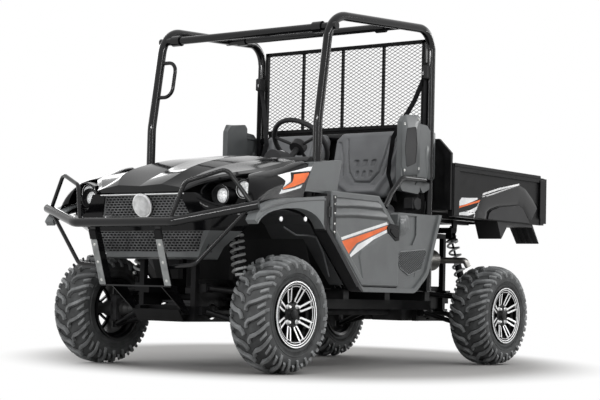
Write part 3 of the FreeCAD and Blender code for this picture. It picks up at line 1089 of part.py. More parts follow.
# mudguards under the bed, behind and above the rear tyres; outlines run from the rear axle
def mudguard():
    """Ribbed guard that hangs from the bed's side rail behind the tyre."""
    top = BED_Z[0] - FIT
    plate = [(90, top), (-365, top), (-455, 772), (-451, 768), (-361, 868), (-45, 868), (35, 780), (39, 784)]
    stiffener = [(-365, 880), (-450, 774), (-425, 774), (-345, 868)]
    return fuse([side_prism(lifted(plate, 0, AXLE_R), *MUDGUARD_Y)]
                + [side_prism(lifted(stiffener, 0, AXLE_R), y, y + 6) for y in (600, 640, 680)])


save("mudguards", both(max(mudguard().Solids, key=lambda p: p.Volume)))

gate_x1 = BED_REAR - GAP
gate_x0 = gate_x1 - GATE_T
gate = box(gate_x0, gate_x1, -BODY_Y + 3, BODY_Y - 3, BED_Z[0] + 12, BED_Z[1] - 2)
gate = gate.cut([box(gate_x0 + 4, gate_x1 + 1, -700, 700, BED_Z[0] + 50, BED_Z[1] - 40)])
hinge_rods, hinge_tabs = [], []
for side in (-1, 1):
    y0, y1 = sorted((side * GATE_SPLIT, side * (GATE_SPLIT + GATE_BARREL)))
    hinge_rods.append(rod((gate_x, y0, gate_z), (gate_x, y1, gate_z), GATE_BARREL_R))
    hinge_tabs.append(box(gate_x - 8, gate_x + 8, y0, y1, gate_z, BED_Z[0] + 20))
pull = box(-HALF_LENGTH, gate_x0 + 2, -70, 70, 1150, 1172)
save("tailgate", [fuse([gate, pull] + hinge_rods + hinge_tabs)])
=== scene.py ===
"""Looks of a side by side utility vehicle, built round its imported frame.

Every operator makes one piece or one group of like pieces; main() calls them in order.
Lengths are metres in the vehicle's own frame: +X forward, +Y to its left, +Z up.
"""

import math

import bmesh
import bpy
import numpy as np
from bpy.props import FloatProperty, FloatVectorProperty, IntProperty, PointerProperty
from mathutils import Matrix, Vector


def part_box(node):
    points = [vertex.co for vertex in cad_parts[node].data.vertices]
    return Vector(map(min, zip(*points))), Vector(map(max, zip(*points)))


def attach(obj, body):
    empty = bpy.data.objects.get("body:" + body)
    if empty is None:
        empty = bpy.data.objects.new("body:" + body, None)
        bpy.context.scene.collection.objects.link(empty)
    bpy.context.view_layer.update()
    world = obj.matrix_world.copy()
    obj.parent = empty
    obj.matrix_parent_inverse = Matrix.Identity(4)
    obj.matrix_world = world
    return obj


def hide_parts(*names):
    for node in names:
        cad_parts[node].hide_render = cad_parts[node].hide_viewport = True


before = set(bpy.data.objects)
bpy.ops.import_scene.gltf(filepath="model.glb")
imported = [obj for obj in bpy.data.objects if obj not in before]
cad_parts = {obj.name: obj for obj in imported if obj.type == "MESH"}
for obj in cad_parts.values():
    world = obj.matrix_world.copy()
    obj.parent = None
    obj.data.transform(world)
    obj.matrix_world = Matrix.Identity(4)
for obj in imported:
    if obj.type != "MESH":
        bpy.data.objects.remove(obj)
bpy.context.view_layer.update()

bl_info = {
    "name": "Utility Vehicle Looks",
    "version": (1, 0, 0),
    "blender": (4, 5, 0),
    "location": "View3D > Sidebar > Vehicle",
    "description": "Surfaces, trim and finishes of a two-seat utility vehicle",
    "category": "Object",
}

# ------------------------------------------------------------------ places taken from the frame
WHEELS = ("front_left", "front_right", "rear_left", "rear_right")


def low(node):
    """Lowest corner of a node."""
    return np.array(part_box(node)[0])


def high(node):
    """Highest corner of a node."""
    return np.array(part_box(node)[1])


def middle(node):
    """Centre of a node's box."""
    return (low(node) + high(node)) / 2


# ------------------------------------------------------------------ surfaces as arrays
def quads(nu, nv):
    """Faces of a grid of nu by nv points: point (i, j) joins (i+1, j), (i+1, j+1) and (i, j+1)."""
    i, j = np.meshgrid(np.arange(nu - 1), np.arange(nv - 1), indexing="ij")
    a = (i * nv + j).ravel()
    return np.stack([a, a + nv, a + nv + 1, a + 1], axis=1)


def sheet_of(points):
    """Surface through a grid of points given as an array (nu, nv, 3)."""
    nu, nv, _ = points.shape
    return points.reshape(-1, 3), quads(nu, nv)


def lathe(profile, centre=(0, 0, 0), axis=(0, 1, 0), steps=48):
    """Surface of revolution: each (radius, station) of the profile swept round the axis through centre."""
    profile = np.array(profile, float)
    along = np.array(axis, float) / np.linalg.norm(axis)
    side = np.cross(along, (0.0, 0.0, 1.0) if abs(along[2]) < 0.9 else (1.0, 0.0, 0.0))
    side /= np.linalg.norm(side)
    up = np.cross(side, along)
    angle = np.linspace(0, 2 * math.pi, steps + 1)[:, None, None]
    r, s = profile[None, :, 0, None], profile[None, :, 1, None]
    points = np.array(centre) + r * (np.cos(angle) * side + np.sin(angle) * up) + s * along
    return sheet_of(points)


def frames_along(path, up):
    """Side and lift at each path point: the side is square to up and to the tangent, found by differences."""
    tangent = np.gradient(path, axis=0)
    tangent /= np.linalg.norm(tangent, axis=1)[:, None]
    side = np.cross(np.broadcast_to(up, path.shape), tangent)
    side /= np.maximum(np.linalg.norm(side, axis=1), 1e-9)[:, None]
    return side, np.cross(tangent, side)


def sweep(path, section, up=(0, 0, 1)):
    """Closed (side, lift) section carried along a path; the ends are drawn to a point to close them."""
    path, section = np.array(path, float), np.array(section, float)
    side, lift = frames_along(path, up)
    ring = np.concatenate([section, section[:1]])
    size = np.concatenate([[0.0], np.ones(len(path)), [0.0]])[:, None, None]
    path, side, lift = (np.concatenate([a[:1], a, a[-1:]]) for a in (path, side, lift))
    points = path[:, None] + size * (ring[None, :, :1] * side[:, None] + ring[None, :, 1:] * lift[:, None])
    return sheet_of(points)


def circle(r, steps):
    """Points of a circle of radius r."""
    t = np.linspace(0, 2 * math.pi, steps, endpoint=False)
    return np.stack([r * np.cos(t), r * np.sin(t)], axis=1)


def arc_path(points, radius, steps):
    """Polyline with each inner corner replaced by a tangent arc of the given radius."""
    points = [np.array(p, float) for p in points]
    out = [points[0]]
    for before, corner, after in zip(points, points[1:], points[2:]):
        a, b = before - corner, after - corner
        a, b = a / np.linalg.norm(a), b / np.linalg.norm(b)
        half = math.acos(np.clip(a @ b, -1, 1)) / 2
        bisector = (a + b) / np.linalg.norm(a + b)
        centre = corner + bisector * radius / math.sin(half)
        first, last = corner + a * radius / math.tan(half), corner + b * radius / math.tan(half)
        turn = math.pi - 2 * half
        t = np.linspace(0, 1, steps)[:, None]
        u, v = first - centre, last - centre
        out += list(centre + (np.sin((1 - t) * turn) * u + np.sin(t * turn) * v) / math.sin(turn))
    return np.array(out + [points[-1]])


def rod(a, b, r, sides, chamfer=0.0):
    """Round bar from a to b; a chamfer narrows its two ends."""
    a, b = np.array(a, float), np.array(b, float)
    length = np.linalg.norm(b - a)
    profile = [(0, 0), (r - chamfer, 0), (r, chamfer), (r, length - chamfer), (r - chamfer, length), (0, length)]
    return lathe(profile, a, b - a, sides)


def offset(outline, distance):
    """Closed outline moved inwards by distance along each corner's mitre."""
    before, after = np.roll(outline, 1, axis=0), np.roll(outline, -1, axis=0)
    a, b = outline - before, after - outline
    a /= np.linalg.norm(a, axis=1)[:, None]
    b /= np.linalg.norm(b, axis=1)[:, None]
    n1, n2 = np.stack([-a[:, 1], a[:, 0]], 1), np.stack([-b[:, 1], b[:, 0]], 1)
    mitre = n1 + n2
    mitre /= np.maximum((mitre * n1).sum(1), 0.25)[:, None]
    area = (outline[:, 0] * after[:, 1] - after[:, 0] * outline[:, 1]).sum()
    return outline + mitre * distance * math.copysign(1, area)


def slab(outline, plane, d0, d1, edge):
    """Plate: an outline in a plane from depth d0 to d1 with bevelled rims.

    plane is "xz", "yz" or "xy"; the depth runs along the remaining axis."""
    outline = np.array(outline, float)
    inner = offset(outline, edge)
    d0, d1 = sorted((d0, d1))
    e = min(edge, (d1 - d0) / 2)
    pole = np.broadcast_to(outline.mean(0), outline.shape)
    levels = [(pole, d0), (inner, d0), (outline, d0 + e), (outline, d1 - e), (inner, d1), (pole, d1)]
    rows = [np.column_stack([ring, np.full(len(ring), d)]) for ring, d in levels]
    points = np.stack([np.concatenate([r, r[:1]]) for r in rows])
    order = {"xz": (0, 2, 1), "yz": (2, 0, 1), "xy": (0, 1, 2)}[plane]
    return sheet_of(points[:, :, order])


def brick(lo, hi, edge=0.002):
    """Block between two corners with bevelled rims."""
    (x0, y0, z0), (x1, y1, z1) = np.minimum(lo, hi), np.maximum(lo, hi)
    return slab([(x0, y0), (x1, y0), (x1, y1), (x0, y1)], "xy", z0, z1, edge)


def along(line, count):
    """Points spaced evenly by length along a polyline."""
    line = np.array(line, float)
    run = np.concatenate([[0.0], np.cumsum(np.linalg.norm(np.diff(line, axis=0), axis=1))])
    t = np.linspace(0, run[-1], count)
    return np.stack([np.interp(t, run, line[:, k]) for k in range(line.shape[1])], axis=1)


def shell(outer, inner):
    """Closed shell between two grids of points of one size."""
    ring = np.concatenate([outer, inner[:, ::-1], outer[:, :1]], axis=1)
    return joined([sheet_of(ring)] + [sheet_of(np.stack([outer[k], inner[k]])) for k in (0, -1)])


def thick_sheet(points, shift):
    """Closed shell between a grid of points and the same grid shifted."""
    return shell(points, points + np.array(shift))


def surface_at(node, at, axis, outward=1):
    """Outermost place of a node's surface along an axis, at points given by the other two coordinates.

    A point lies in a triangle where its three signed areas have one sign; the surface there is the mean of the
    corners' places weighted by those areas."""
    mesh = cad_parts[node].data
    mesh.calc_loop_triangles()
    corner = np.empty(len(mesh.loop_triangles) * 3, int)
    mesh.loop_triangles.foreach_get("vertices", corner)
    points = np.empty(len(mesh.vertices) * 3)
    mesh.vertices.foreach_get("co", points)
    corners = points.reshape(-1, 3)[corner.reshape(-1, 3)]
    flat, rise = np.delete(corners, axis, axis=2), corners[:, :, axis] * outward
    near = (flat.max(1) >= at.min(0)).all(1) & (flat.min(1) <= at.max(0)).all(1)
    flat, rise = flat[near], rise[near]
    a, b, c = (flat[:, k][None] - at[:, None] for k in range(3))
    areas = np.stack([b[..., 0] * c[..., 1] - b[..., 1] * c[..., 0], c[..., 0] * a[..., 1] - c[..., 1] * a[..., 0],
                      a[..., 0] * b[..., 1] - a[..., 1] * b[..., 0]])
    total = areas.sum(0)
    total[np.abs(total) < 1e-14] = np.nan
    share = areas / total
    place = np.where(share.min(0) > -1e-6, np.einsum("kpt,tk->pt", share, rise), -np.inf)
    place = np.nanmax(place, axis=1)
    place[~np.isfinite(place)] = np.median(place[np.isfinite(place)])
    return place * outward


def film(under, one, other, rows=48, columns=5, lift=0.0005, thick=0.0012, crown=0.0):
    """Film or raised band laid on a left face between two edge lines drawn in the X-Z plane.

    under is a node, or a function giving the face's y from x and z; the band's section rises by crown as a
    flattened half sine from edge to edge."""
    t = np.linspace(0, 1, columns)[None, :, None]
    grid = along(one, rows)[:, None] * (1 - t) + along(other, rows)[:, None] * t
    if callable(under):
        y = under(grid[..., 0], grid[..., 1])
    else:
        y = surface_at(under, grid.reshape(-1, 2), 1).reshape(grid.shape[:2])
    y = y + lift + crown * np.sin(math.pi * t[..., 0]) ** 0.4
    return thick_sheet(np.stack([grid[..., 0], y, grid[..., 1]], axis=2), (0, -thick, 0))


RIDGE_LIFT = 0.0003


def ridge(node, axis, outward, line, width, crown, rows, columns=5):
    """Raised rounded band laid on a node's face along a line given by the two coordinates other than the axis."""
    path = along(line, rows)
    run = np.gradient(path, axis=0)
    run /= np.linalg.norm(run, axis=1)[:, None]
    t = np.linspace(-0.5, 0.5, columns)[None, :, None]
    grid = path[:, None] + np.stack([-run[:, 1], run[:, 0]], 1)[:, None] * width * t
    place = surface_at(node, grid.reshape(-1, 2), axis, outward).reshape(grid.shape[:2])
    place = place + outward * (RIDGE_LIFT + crown * np.cos(math.pi * t[..., 0] * 0.96) ** 0.6)
    shift = np.zeros(3)
    shift[axis] = -outward * (crown + 0.001)
    return thick_sheet(np.insert(grid, axis, place, axis=2), shift)


def ease(value, start, end):
    """Smooth step from 0 at start to 1 at end."""
    t = np.clip((value - start) / (end - start), 0, 1)
    return t * t * (3 - 2 * t)


def distance_to(u, v, line):
    """Distance of points (u, v) from a polyline: the least over its segments."""
    line = np.array(line, float)
    points = np.stack([u, v], -1)[..., None, :]
    a, run = line[:-1], np.diff(line, axis=0)
    t = np.clip(((points - a) * run).sum(-1) / (run * run).sum(-1), 0, 1)
    return np.linalg.norm(points - a - t[..., None] * run, axis=-1).min(-1)


def inside_loop(x, z, loop):
    """Whether points lie inside a closed outline: a ray to the right crosses it an odd number of times."""
    a, b = loop, np.roll(loop, -1, axis=0)
    spans = (a[:, 1][None] > z[:, None]) != (b[:, 1][None] > z[:, None])
    rise = b[:, 1] - a[:, 1]
    rise = np.where(np.abs(rise) < 1e-12, 1e-12, rise)
    cross = a[:, 0] + (z[:, None] - a[:, 1]) / rise * (b[:, 0] - a[:, 0])
    return (spans & (x[:, None] < cross)).sum(1) % 2 == 1


def closed(loop):
    """A closed outline with its first point repeated at the end."""
    return np.concatenate([loop, loop[:1]])


def box_section(wide, tall):
    """Corners of a rectangular section from its half width and half height."""
    return [(-wide, -tall), (wide, -tall), (wide, tall), (-wide, tall)]


def rounded_loop(corners, count, radius):
    """Closed outline with its corners rounded to a radius, evenly spaced."""
    corners = np.array(corners, float)
    start = (corners[0] + corners[-1]) / 2
    return along(arc_path([start, *corners, start], radius, 6), count + 1)[:-1]


def scan_plate(z, rear, front, face, back, columns):
    """Closed plate of level rows between two edges; its outer face is a function of x and z, its inner one flat."""
    t = np.linspace(0, 1, columns)[None, :]
    x = rear[:, None] * (1 - t) + front[:, None] * t
    zz = np.broadcast_to(z[:, None], x.shape)
    outer = np.stack([x, face(x, zz), zz], axis=2)
    inner = outer.copy()
    inner[..., 1] = back
    return shell(outer, inner)


CUSHION_ROWS = 92


def cushion(outline, carve, profile):
    """Crowned closed form: an outline carried along a profile of (share of the outline, depth).

    The share runs from 0 at the middle of the front over 1 at the rim back to 0 behind; carve gives the
    depth added on the front face from the two coordinates of the outline's plane. Returns a grid of
    (u, v, depth)."""
    centre = outline.mean(0)
    share, depth = along(profile, CUSHION_ROWS).T
    spot = centre + share[:, None, None] * (outline - centre)
    front = (np.arange(len(share)) < np.argmax(share))[:, None]
    deep = depth[:, None] + np.where(front, carve(spot[..., 0], spot[..., 1]), 0)
    grid = np.concatenate([spot, deep[..., None]], axis=2)
    return np.concatenate([grid, grid[:, :1]], axis=1)


WEBBING_THICK = 0.0016


def strap(path, width, across):
    """Flat webbing: a band of a width across a direction, carried along a path."""
    path, across = arc_path(path, 0.02, 6), np.array(across, float)
    t = np.linspace(-0.5, 0.5, 5)[None, :, None]
    grid = path[:, None] + across / np.linalg.norm(across) * width * t
    normal = np.cross(np.gradient(path, axis=0), across)
    normal /= np.linalg.norm(normal, axis=1)[:, None]
    return shell(grid, grid - normal[:, None] * WEBBING_THICK)


def joined(parts):
    """Several surfaces as one."""
    shift = np.cumsum([0] + [len(v) for v, _ in parts])
    return (np.concatenate([v for v, _ in parts]),
            np.concatenate([f + k for (_, f), k in zip(parts, shift)]))


def mapped(part, function):
    """The same surface with its points put through a function."""
    return function(part[0]), part[1]


def moved(part, by):
    """The surface shifted."""
    return part[0] + np.array(by), part[1]


def turned(part, angle, centre):
    """The surface turned by angle about a crosswise axis through centre."""
    turn = np.array(Matrix.Rotation(angle, 3, "Y"))
    return (part[0] - centre) @ turn.T + centre, part[1]


def mirrored(part):
    """The surface on the vehicle's other side."""
    return part[0] * (1, -1, 1), part[1][:, ::-1]


def both(parts):
    """Surfaces with their mirror images."""
    return list(parts) + [mirrored(p) for p in parts]


def bolt(at, axis, r, height):
    """Flanged hexagon bolt head standing on a face at a point."""
    at, axis = np.array(at, float), np.array(axis, float) / np.linalg.norm(axis)
    flange = lathe([(0, 0), (r * 1.35, 0), (r * 1.3, height * 0.3), (0, height * 0.35)], at, axis, 16)
    head = lathe([(0, 0), (r, 0), (r, height * 0.8), (r * 0.85, height), (0, height)], at, axis, 6)
    return joined([flange, head])


def merged_mesh(name, points, faces, solid=True):
    """Mesh from a surface with seams and poles merged; a solid's faces are turned outwards."""
    mesh = bpy.data.meshes.new(name)
    mesh.from_pydata(points.tolist(), [], faces.tolist())
    work = bmesh.new()
    work.from_mesh(mesh)
    bmesh.ops.remove_doubles(work, verts=work.verts, dist=1e-6)
    if solid:
        bmesh.ops.dissolve_degenerate(work, edges=work.edges, dist=1e-7)
        bmesh.ops.recalc_face_normals(work, faces=work.faces)
    work.to_mesh(mesh)
    work.free()
    return mesh


def piece(name, parts, finish, body, replaces=(), angle=35.0):
    """Makes one mesh object from surfaces, in a finish, riding on a body; faces meeting under angle are smooth."""
    mesh = merged_mesh(name, *(joined(parts) if isinstance(parts, list) else parts))
    mesh.shade_smooth()
    mesh.set_sharp_from_angle(angle=math.radians(angle))
    mesh.materials.append(FINISH[finish])
    obj = bpy.data.objects.new(name, mesh)
    bpy.context.scene.collection.objects.link(obj)
    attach(obj, body)
    if replaces:
        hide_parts(*replaces)


# ------------------------------------------------------------------ finishes
def add_node(tree, kind, inputs, **settings):
    """New shader node of a kind, with its settings.

    inputs gives, by socket, a plain value or the output that feeds it."""
    made = tree.nodes.new("ShaderNode" + kind)
    for name, value in settings.items():
        setattr(made, name, value)
    for socket, value in inputs.items():
        if isinstance(value, bpy.types.NodeSocket):
            tree.links.new(value, made.inputs[socket])
        else:
            made.inputs[socket].default_value = value
    return made


def shader(name, colour, rough, metal=0.0, coat=0.0, spec=0.5):
    """Material with one Principled shader; returns the material, its node tree and the shader."""
    material = bpy.data.materials.new(name)
    material.use_nodes = True
    bsdf = material.node_tree.nodes["Principled BSDF"]
    for socket, value in {"Base Color": (*colour, 1), "Roughness": rough, "Metallic": metal, "Coat Weight": coat,
                          "Coat Roughness": 0.05, "Specular IOR Level": spec}.items():
        bsdf.inputs[socket].default_value = value
    return material, material.node_tree, bsdf


def maths(tree, operation, first, second):
    """Output of a math node on two sockets; the second may be a plain number."""
    return add_node(tree, "Math", {0: first, 1: second}, operation=operation).outputs[0]


def blended(tree, share, first, second):
    """Shader that goes from the first to the second as share goes from 0 to 1."""
    return add_node(tree, "MixShader", {0: share, 1: first, 2: second}).outputs["Shader"]


def own_place(tree):
    """The piece's own coordinates."""
    return add_node(tree, "TexCoord", {}).outputs["Object"]


def cells(tree, scale):
    """Distance to the nearest cell centre of a cell texture."""
    return add_node(tree, "TexVoronoi", {"Vector": own_place(tree), "Scale": scale}).outputs["Distance"]


def noise(tree, scale, detail=3.0, stretch=(1, 1, 1)):
    """Value of a noise texture."""
    mapping = add_node(tree, "Mapping", {"Vector": own_place(tree), "Scale": stretch})
    texture = add_node(tree, "TexNoise", {"Vector": mapping.outputs["Vector"], "Scale": scale, "Detail": detail})
    return texture.outputs["Fac"]


def ranged(tree, value, span, levels, curve="LINEAR"):
    """Socket that goes from the first level to the second as a value goes through a span."""
    inputs = {"Value": value, "From Min": span[0], "From Max": span[1], "To Min": levels[0], "To Max": levels[1]}
    return add_node(tree, "MapRange", inputs, interpolation_type=curve).outputs["Result"]


def tint(tree, source, dark, light, socket, clip=(0.35, 0.65)):
    """Sends a colour between dark and light to a socket, by a texture's value."""
    ramp = add_node(tree, "ValToRGB", {"Fac": source})
    for element, colour, position in zip(ramp.color_ramp.elements, (dark, light), clip):
        element.color, element.position = (*colour, 1), position
    tree.links.new(ramp.outputs["Color"], socket)


def polish(tree, bsdf, source, smoothest, roughest):
    """Lets a texture's value vary the shader's roughness."""
    tree.links.new(ranged(tree, source, (0.3, 0.7), (smoothest, roughest)), bsdf.inputs["Roughness"])


def bump(tree, bsdf, height, strength, distance):
    """Bump from a height value."""
    relief = add_node(tree, "Bump", {"Height": height, "Strength": strength, "Distance": distance})
    tree.links.new(relief.outputs["Normal"], bsdf.inputs["Normal"])


def shade(colour, factor):
    """A colour made lighter or darker."""
    return tuple(min(c * factor, 1.0) for c in colour)


def weathered(name, colour, rough, cloud, tone, haze, grain, relief, spec, coat=0.0):
    """Material whose tone and gloss drift in clouds over a fine grain.

    cloud and grain are each the scale and detail of a noise, tone the factors of the darkest and the lightest
    colour, haze what the roughness falls and rises by, relief the strength and depth of the grain."""
    material, tree, bsdf = shader(name, colour, rough, coat=coat, spec=spec)
    drift = noise(tree, *cloud)
    tint(tree, drift, shade(colour, tone[0]), shade(colour, tone[1]), bsdf.inputs["Base Color"])
    polish(tree, bsdf, drift, rough - haze[0], rough + haze[1])
    bump(tree, bsdf, noise(tree, *grain), *relief)
    return material


def moulded_plastic(name, colour, rough):
    """Moulded plastic: fine leather grain, faint cloudiness of tone and gloss."""
    return weathered(name, colour, rough, (6.0, 3.0), (0.88, 1.12), (0.05, 0.07), (900.0, 2.0), (0.25, 0.0004), 0.3)


def gloss_paint(name, colour, rough, peel=0.03, coat=0.0):
    """Gloss paint: slight orange peel and dust haze, with a clear coat where wanted."""
    return weathered(name, colour, rough, (9.0, 4.0), (0.85, 1.25), (0.03, 0.07), (160.0, 1.0), (peel, 0.001), 0.16,
                     coat)


def satin_steel(name, colour, rough):
    """Satin painted steel: fine texture of powder coat and faint rub marks."""
    return weathered(name, colour, rough, (14.0, 5.0), (0.8, 1.35), (0.08, 0.1), (700.0, 2.0), (0.12, 0.0004), 0.1)


def rubber(name, colour, rough):
    """Rubber: dusty patches over a fine matt skin."""
    return weathered(name, colour, rough, (18.0, 5.0), (0.75, 1.5), (0.12, 0.1), (500.0, 3.0), (0.25, 0.0005), 0.35)


def bare_metal(name, colour, rough, metal=1.0, drawn=1):
    """Machined or plated metal; its tool marks are drawn out upwards by a factor."""
    material, tree, bsdf = shader(name, colour, rough, metal=metal)
    marks = noise(tree, 120.0, 3.0, (1, 1, drawn))
    polish(tree, bsdf, marks, rough - 0.06, rough + 0.12)
    tint(tree, marks, shade(colour, 0.85), colour, bsdf.inputs["Base Color"])
    return material


def vinyl(name, colour):
    """Seat vinyl: pebbled grain from cells, slight sheen and worn tone."""
    material, tree, bsdf = shader(name, colour, 0.46)
    cloud = noise(tree, 5.0, 4.0)
    tint(tree, cloud, shade(colour, 0.85), shade(colour, 1.15), bsdf.inputs["Base Color"])
    bump(tree, bsdf, cells(tree, 420.0), 0.35, 0.0005)
    bsdf.inputs["Sheen Weight"].default_value = 0.15
    return material


def lamp_glass_with_painted_glow(name, colour):
    """Lamp glass over its reflector: bright facets under a clear coat, with a faint painted glow though the lamp is not
    lit.
    """
    material, tree, bsdf = shader(name, colour, 0.2, metal=0.1, coat=1.0)
    facets = cells(tree, 85.0)
    tint(tree, facets, shade(colour, 1.1), shade(colour, 0.55), bsdf.inputs["Base Color"], (0.1, 0.7))
    # painted glow: a faint emission makes the unlit lens read bright
    bsdf.inputs["Emission Color"].default_value = (*colour, 1)
    bsdf.inputs["Emission Strength"].default_value = 0.22
    bump(tree, bsdf, facets, 0.8, 0.004)
    return material


def webbing(name, colour):
    """Woven belt webbing: fine cross ribs."""
    material, tree, bsdf = shader(name, colour, 0.8, spec=0.2)
    tint(tree, noise(tree, 30.0, 4.0), shade(colour, 0.8), shade(colour, 1.3), bsdf.inputs["Base Color"])
    bump(tree, bsdf, noise(tree, 900.0, 1.0, (0.2, 0.2, 1)), 0.5, 0.0006)
    return material


def divided(material, colour, rough, planes):
    """Adds a second plain finish to a material wherever a x + b z is over d, for any of the planes (a, b, d)."""
    tree = material.node_tree
    first, output = tree.nodes["Principled BSDF"], tree.nodes["Material Output"]
    second = add_node(tree, "BsdfPrincipled", {"Roughness": rough, "Specular IOR Level": 0.3})
    tint(tree, noise(tree, 7.0), shade(colour, 0.88), shade(colour, 1.12), second.inputs["Base Color"])
    whole = None
    for a, b, d in planes:
        side = add_node(tree, "VectorMath", {0: own_place(tree), 1: (a, 0, b)}, operation="DOT_PRODUCT")
        over = maths(tree, "GREATER_THAN", side.outputs["Value"], d)
        whole = maths(tree, "MAXIMUM", whole, over) if whole else over
    tree.links.new(blended(tree, whole, first.outputs["BSDF"], second.outputs["BSDF"]), output.inputs["Surface"])
    return material


class VehicleFinish(bpy.types.PropertyGroup):
    """Colours of the vehicle."""

    body_grey: FloatVectorProperty(
        name="Moulded grey", description="Fenders, doors and side panels", subtype="COLOR", size=3,
        default=(0.106, 0.112, 0.114), min=0, max=1)
    gloss_black: FloatVectorProperty(
        name="Gloss black", description="Hood, nose and tubes", subtype="COLOR", size=3,
        default=(0.004, 0.004, 0.0045), min=0, max=1)
    dull_black: FloatVectorProperty(
        name="Dull black", description="Liners, dash and small trim", subtype="COLOR", size=3,
        default=(0.016, 0.016, 0.017), min=0, max=1)
    tyre_grey: FloatVectorProperty(
        name="Tyre rubber", description="Tread and walls", subtype="COLOR", size=3,
        default=(0.060, 0.062, 0.063), min=0, max=1)
    seat_grey: FloatVectorProperty(
        name="Seat vinyl", description="Backs and cushions", subtype="COLOR", size=3,
        default=(0.120, 0.124, 0.130), min=0, max=1)
    stripe_orange: FloatVectorProperty(
        name="Orange stripe", description="Warm band of the side stripes", subtype="COLOR", size=3,
        default=(0.86, 0.17, 0.05), min=0, max=1)
    stripe_white: FloatVectorProperty(
        name="White stripe", description="Pale band of the side stripes", subtype="COLOR", size=3,
        default=(0.82, 0.83, 0.84), min=0, max=1)


class VehicleSizes(bpy.types.PropertyGroup):
    """Sizes of the added detail."""

    lug_height: FloatProperty(
        name="Lug height", description="How far the tread stands over the carcass", unit="LENGTH",
        default=0.021, min=0.005, max=0.03)
    lug_count: IntProperty(
        name="Lugs", description="Long lugs round each half of a tyre", default=22, min=8, max=40)
    spring_wire: FloatProperty(
        name="Spring wire", description="Radius of the coil springs' wire", unit="LENGTH",
        default=0.0062, min=0.002, max=0.02)
    grille_cell: FloatProperty(
        name="Grille cell", description="Width of one slot of the grilles", unit="LENGTH",
        default=0.026, min=0.008, max=0.1)
    screen_pitch: FloatVectorProperty(
        name="Screen cell", description="Width and height of the rear screen's diamonds", size=2, unit="LENGTH",
        default=(0.040, 0.022), min=0.005, max=0.1)


FINISH = {}


def make_finishes(colours):
    """Makes every finish once, by name."""
    grey, gloss, dull = (tuple(c) for c in (colours.body_grey, colours.gloss_black, colours.dull_black))
    FINISH.update(
        grey=moulded_plastic("moulded grey plastic", grey, 0.36),
        nose=divided(gloss_paint("gloss black nose over grey", gloss, 0.10, 0.02), shade(grey, 1.2), 0.4,
                     [(0, -1, -0.722)]),
        # the fender's grey is 1.35 times the body grey: painted light on the same plastic, for its upward faces
        fender=divided(moulded_plastic("grey fender lightened by painted light, black end", shade(grey, 1.35), 0.36), dull, 0.5,
                       [(-1, 0, -0.8600)]),
        # black over a band in front of the door and under a slant, where door and fender meet
        sill=divided(moulded_plastic("grey sill with black band by the door", grey, 0.36), dull, 0.5,
                     [(1, 0, 0.8065), (0.705, -0.709, 0.0325)]),
        liner=moulded_plastic("wheel liner plastic", (0.062, 0.064, 0.067), 0.4),
        dull=moulded_plastic("dull black plastic", dull, 0.6),
        gloss=gloss_paint("gloss black panel", gloss, 0.10, 0.02, 0.3),
        tube=gloss_paint("gloss black tube", gloss, 0.09, 0.01, 0.35),
        shoulder=gloss_paint("gloss black shoulder", gloss, 0.16, 0.02),
        black_steel=satin_steel("satin black steel", (0.007, 0.007, 0.0074), 0.36),
        pale_steel=satin_steel("pale grey steel", (0.26, 0.27, 0.27), 0.45),
        cast=satin_steel("cast iron", (0.05, 0.05, 0.052), 0.6),
        # one rubber in two tones: the carcass darkened to 0.9 and the lugs lightened to 2.5 times the tyre grey,
        # painted shade and painted light that raise the tread's contrast
        tyre=rubber("tyre rubber", shade(colours.tyre_grey, 0.9), 0.72),
        lug=rubber("lug rubber lightened as painted light", shade(colours.tyre_grey, 2.5), 0.5),
        boot=rubber("boot rubber", (0.02, 0.02, 0.02), 0.55),
        alloy_black=gloss_paint("black alloy", (0.004, 0.004, 0.0045), 0.34),
        machined=bare_metal("machined alloy", (0.95, 0.955, 0.96), 0.34, metal=0.55, drawn=12),
        disc=satin_steel("pale satin disc", (0.62, 0.625, 0.63), 0.3),
        zinc=bare_metal("zinc plated steel", (0.62, 0.62, 0.60), 0.3),
        chrome=bare_metal("bright reflector", (0.92, 0.92, 0.93), 0.08),
        spring_grey=gloss_paint("grey spring coat", (0.50, 0.51, 0.51), 0.3),
        lattice=satin_steel("grille lattice", (0.16, 0.163, 0.166), 0.35),
        seat=vinyl("seat vinyl", tuple(colours.seat_grey)),
        glass=lamp_glass_with_painted_glow("lamp glass with painted glow", (0.93, 0.95, 0.96)),
        belt=webbing("belt webbing", (0.012, 0.012, 0.013)),
        orange=gloss_paint("orange stripe film", tuple(colours.stripe_orange), 0.35),
        white=gloss_paint("white stripe film", tuple(colours.stripe_white), 0.35),
        steel=bare_metal("exhaust steel", (0.42, 0.41, 0.39), 0.38),
        red=gloss_paint("red lamp lens", (0.45, 0.012, 0.012), 0.12),
    )


NODE_FINISH = {
    "grey": ("door_left", "door_right", "side_panels", "cowl_sides", "shoulder_guards"),
    "fender": ("front_fenders",),
    "sill": ("sill_trims",),
    "nose": ("front_fascia",),
    "gloss": ("hood",),
    "shoulder": ("fender_shoulders",),
    "tube": ("cage_hoops", "cage_bars", "hip_bars", "brush_guard"),
    "dull": ("cab_tub", "seat_base", "dashboard", "grilles", "mudguards", "steering_wheel"),
    "black_steel": ("suspension_arms", "tie_rods", "chassis_frame", "front_tower", "rear_tower", "rear_screen",
                    "skid_plate", "hitch_receiver", "bed_floor", "bed_walls", "tailgate"),
    "cast": ("knuckle_left", "knuckle_right", "rear_knuckles", "gearcases", "engine"),
    "boot": ("half_shafts",),
    "liner": ("wheel_liners",),
    "steel": ("exhaust",),
    "seat": ("seat_cushions", "seat_backs"),
    "tyre": tuple("tyre_" + w for w in WHEELS),
    "spring_grey": ("shocks",),
    "alloy_black": tuple("rim_" + w for w in WHEELS) + ("headlamps",),
}


class VehicleOperator(bpy.types.Operator):
    """Shared settings of the vehicle's operators."""

    bl_options = {"REGISTER", "UNDO"}

    @property
    def sizes(self):
        """Sizes held by the scene."""
        return bpy.context.scene.vehicle_sizes


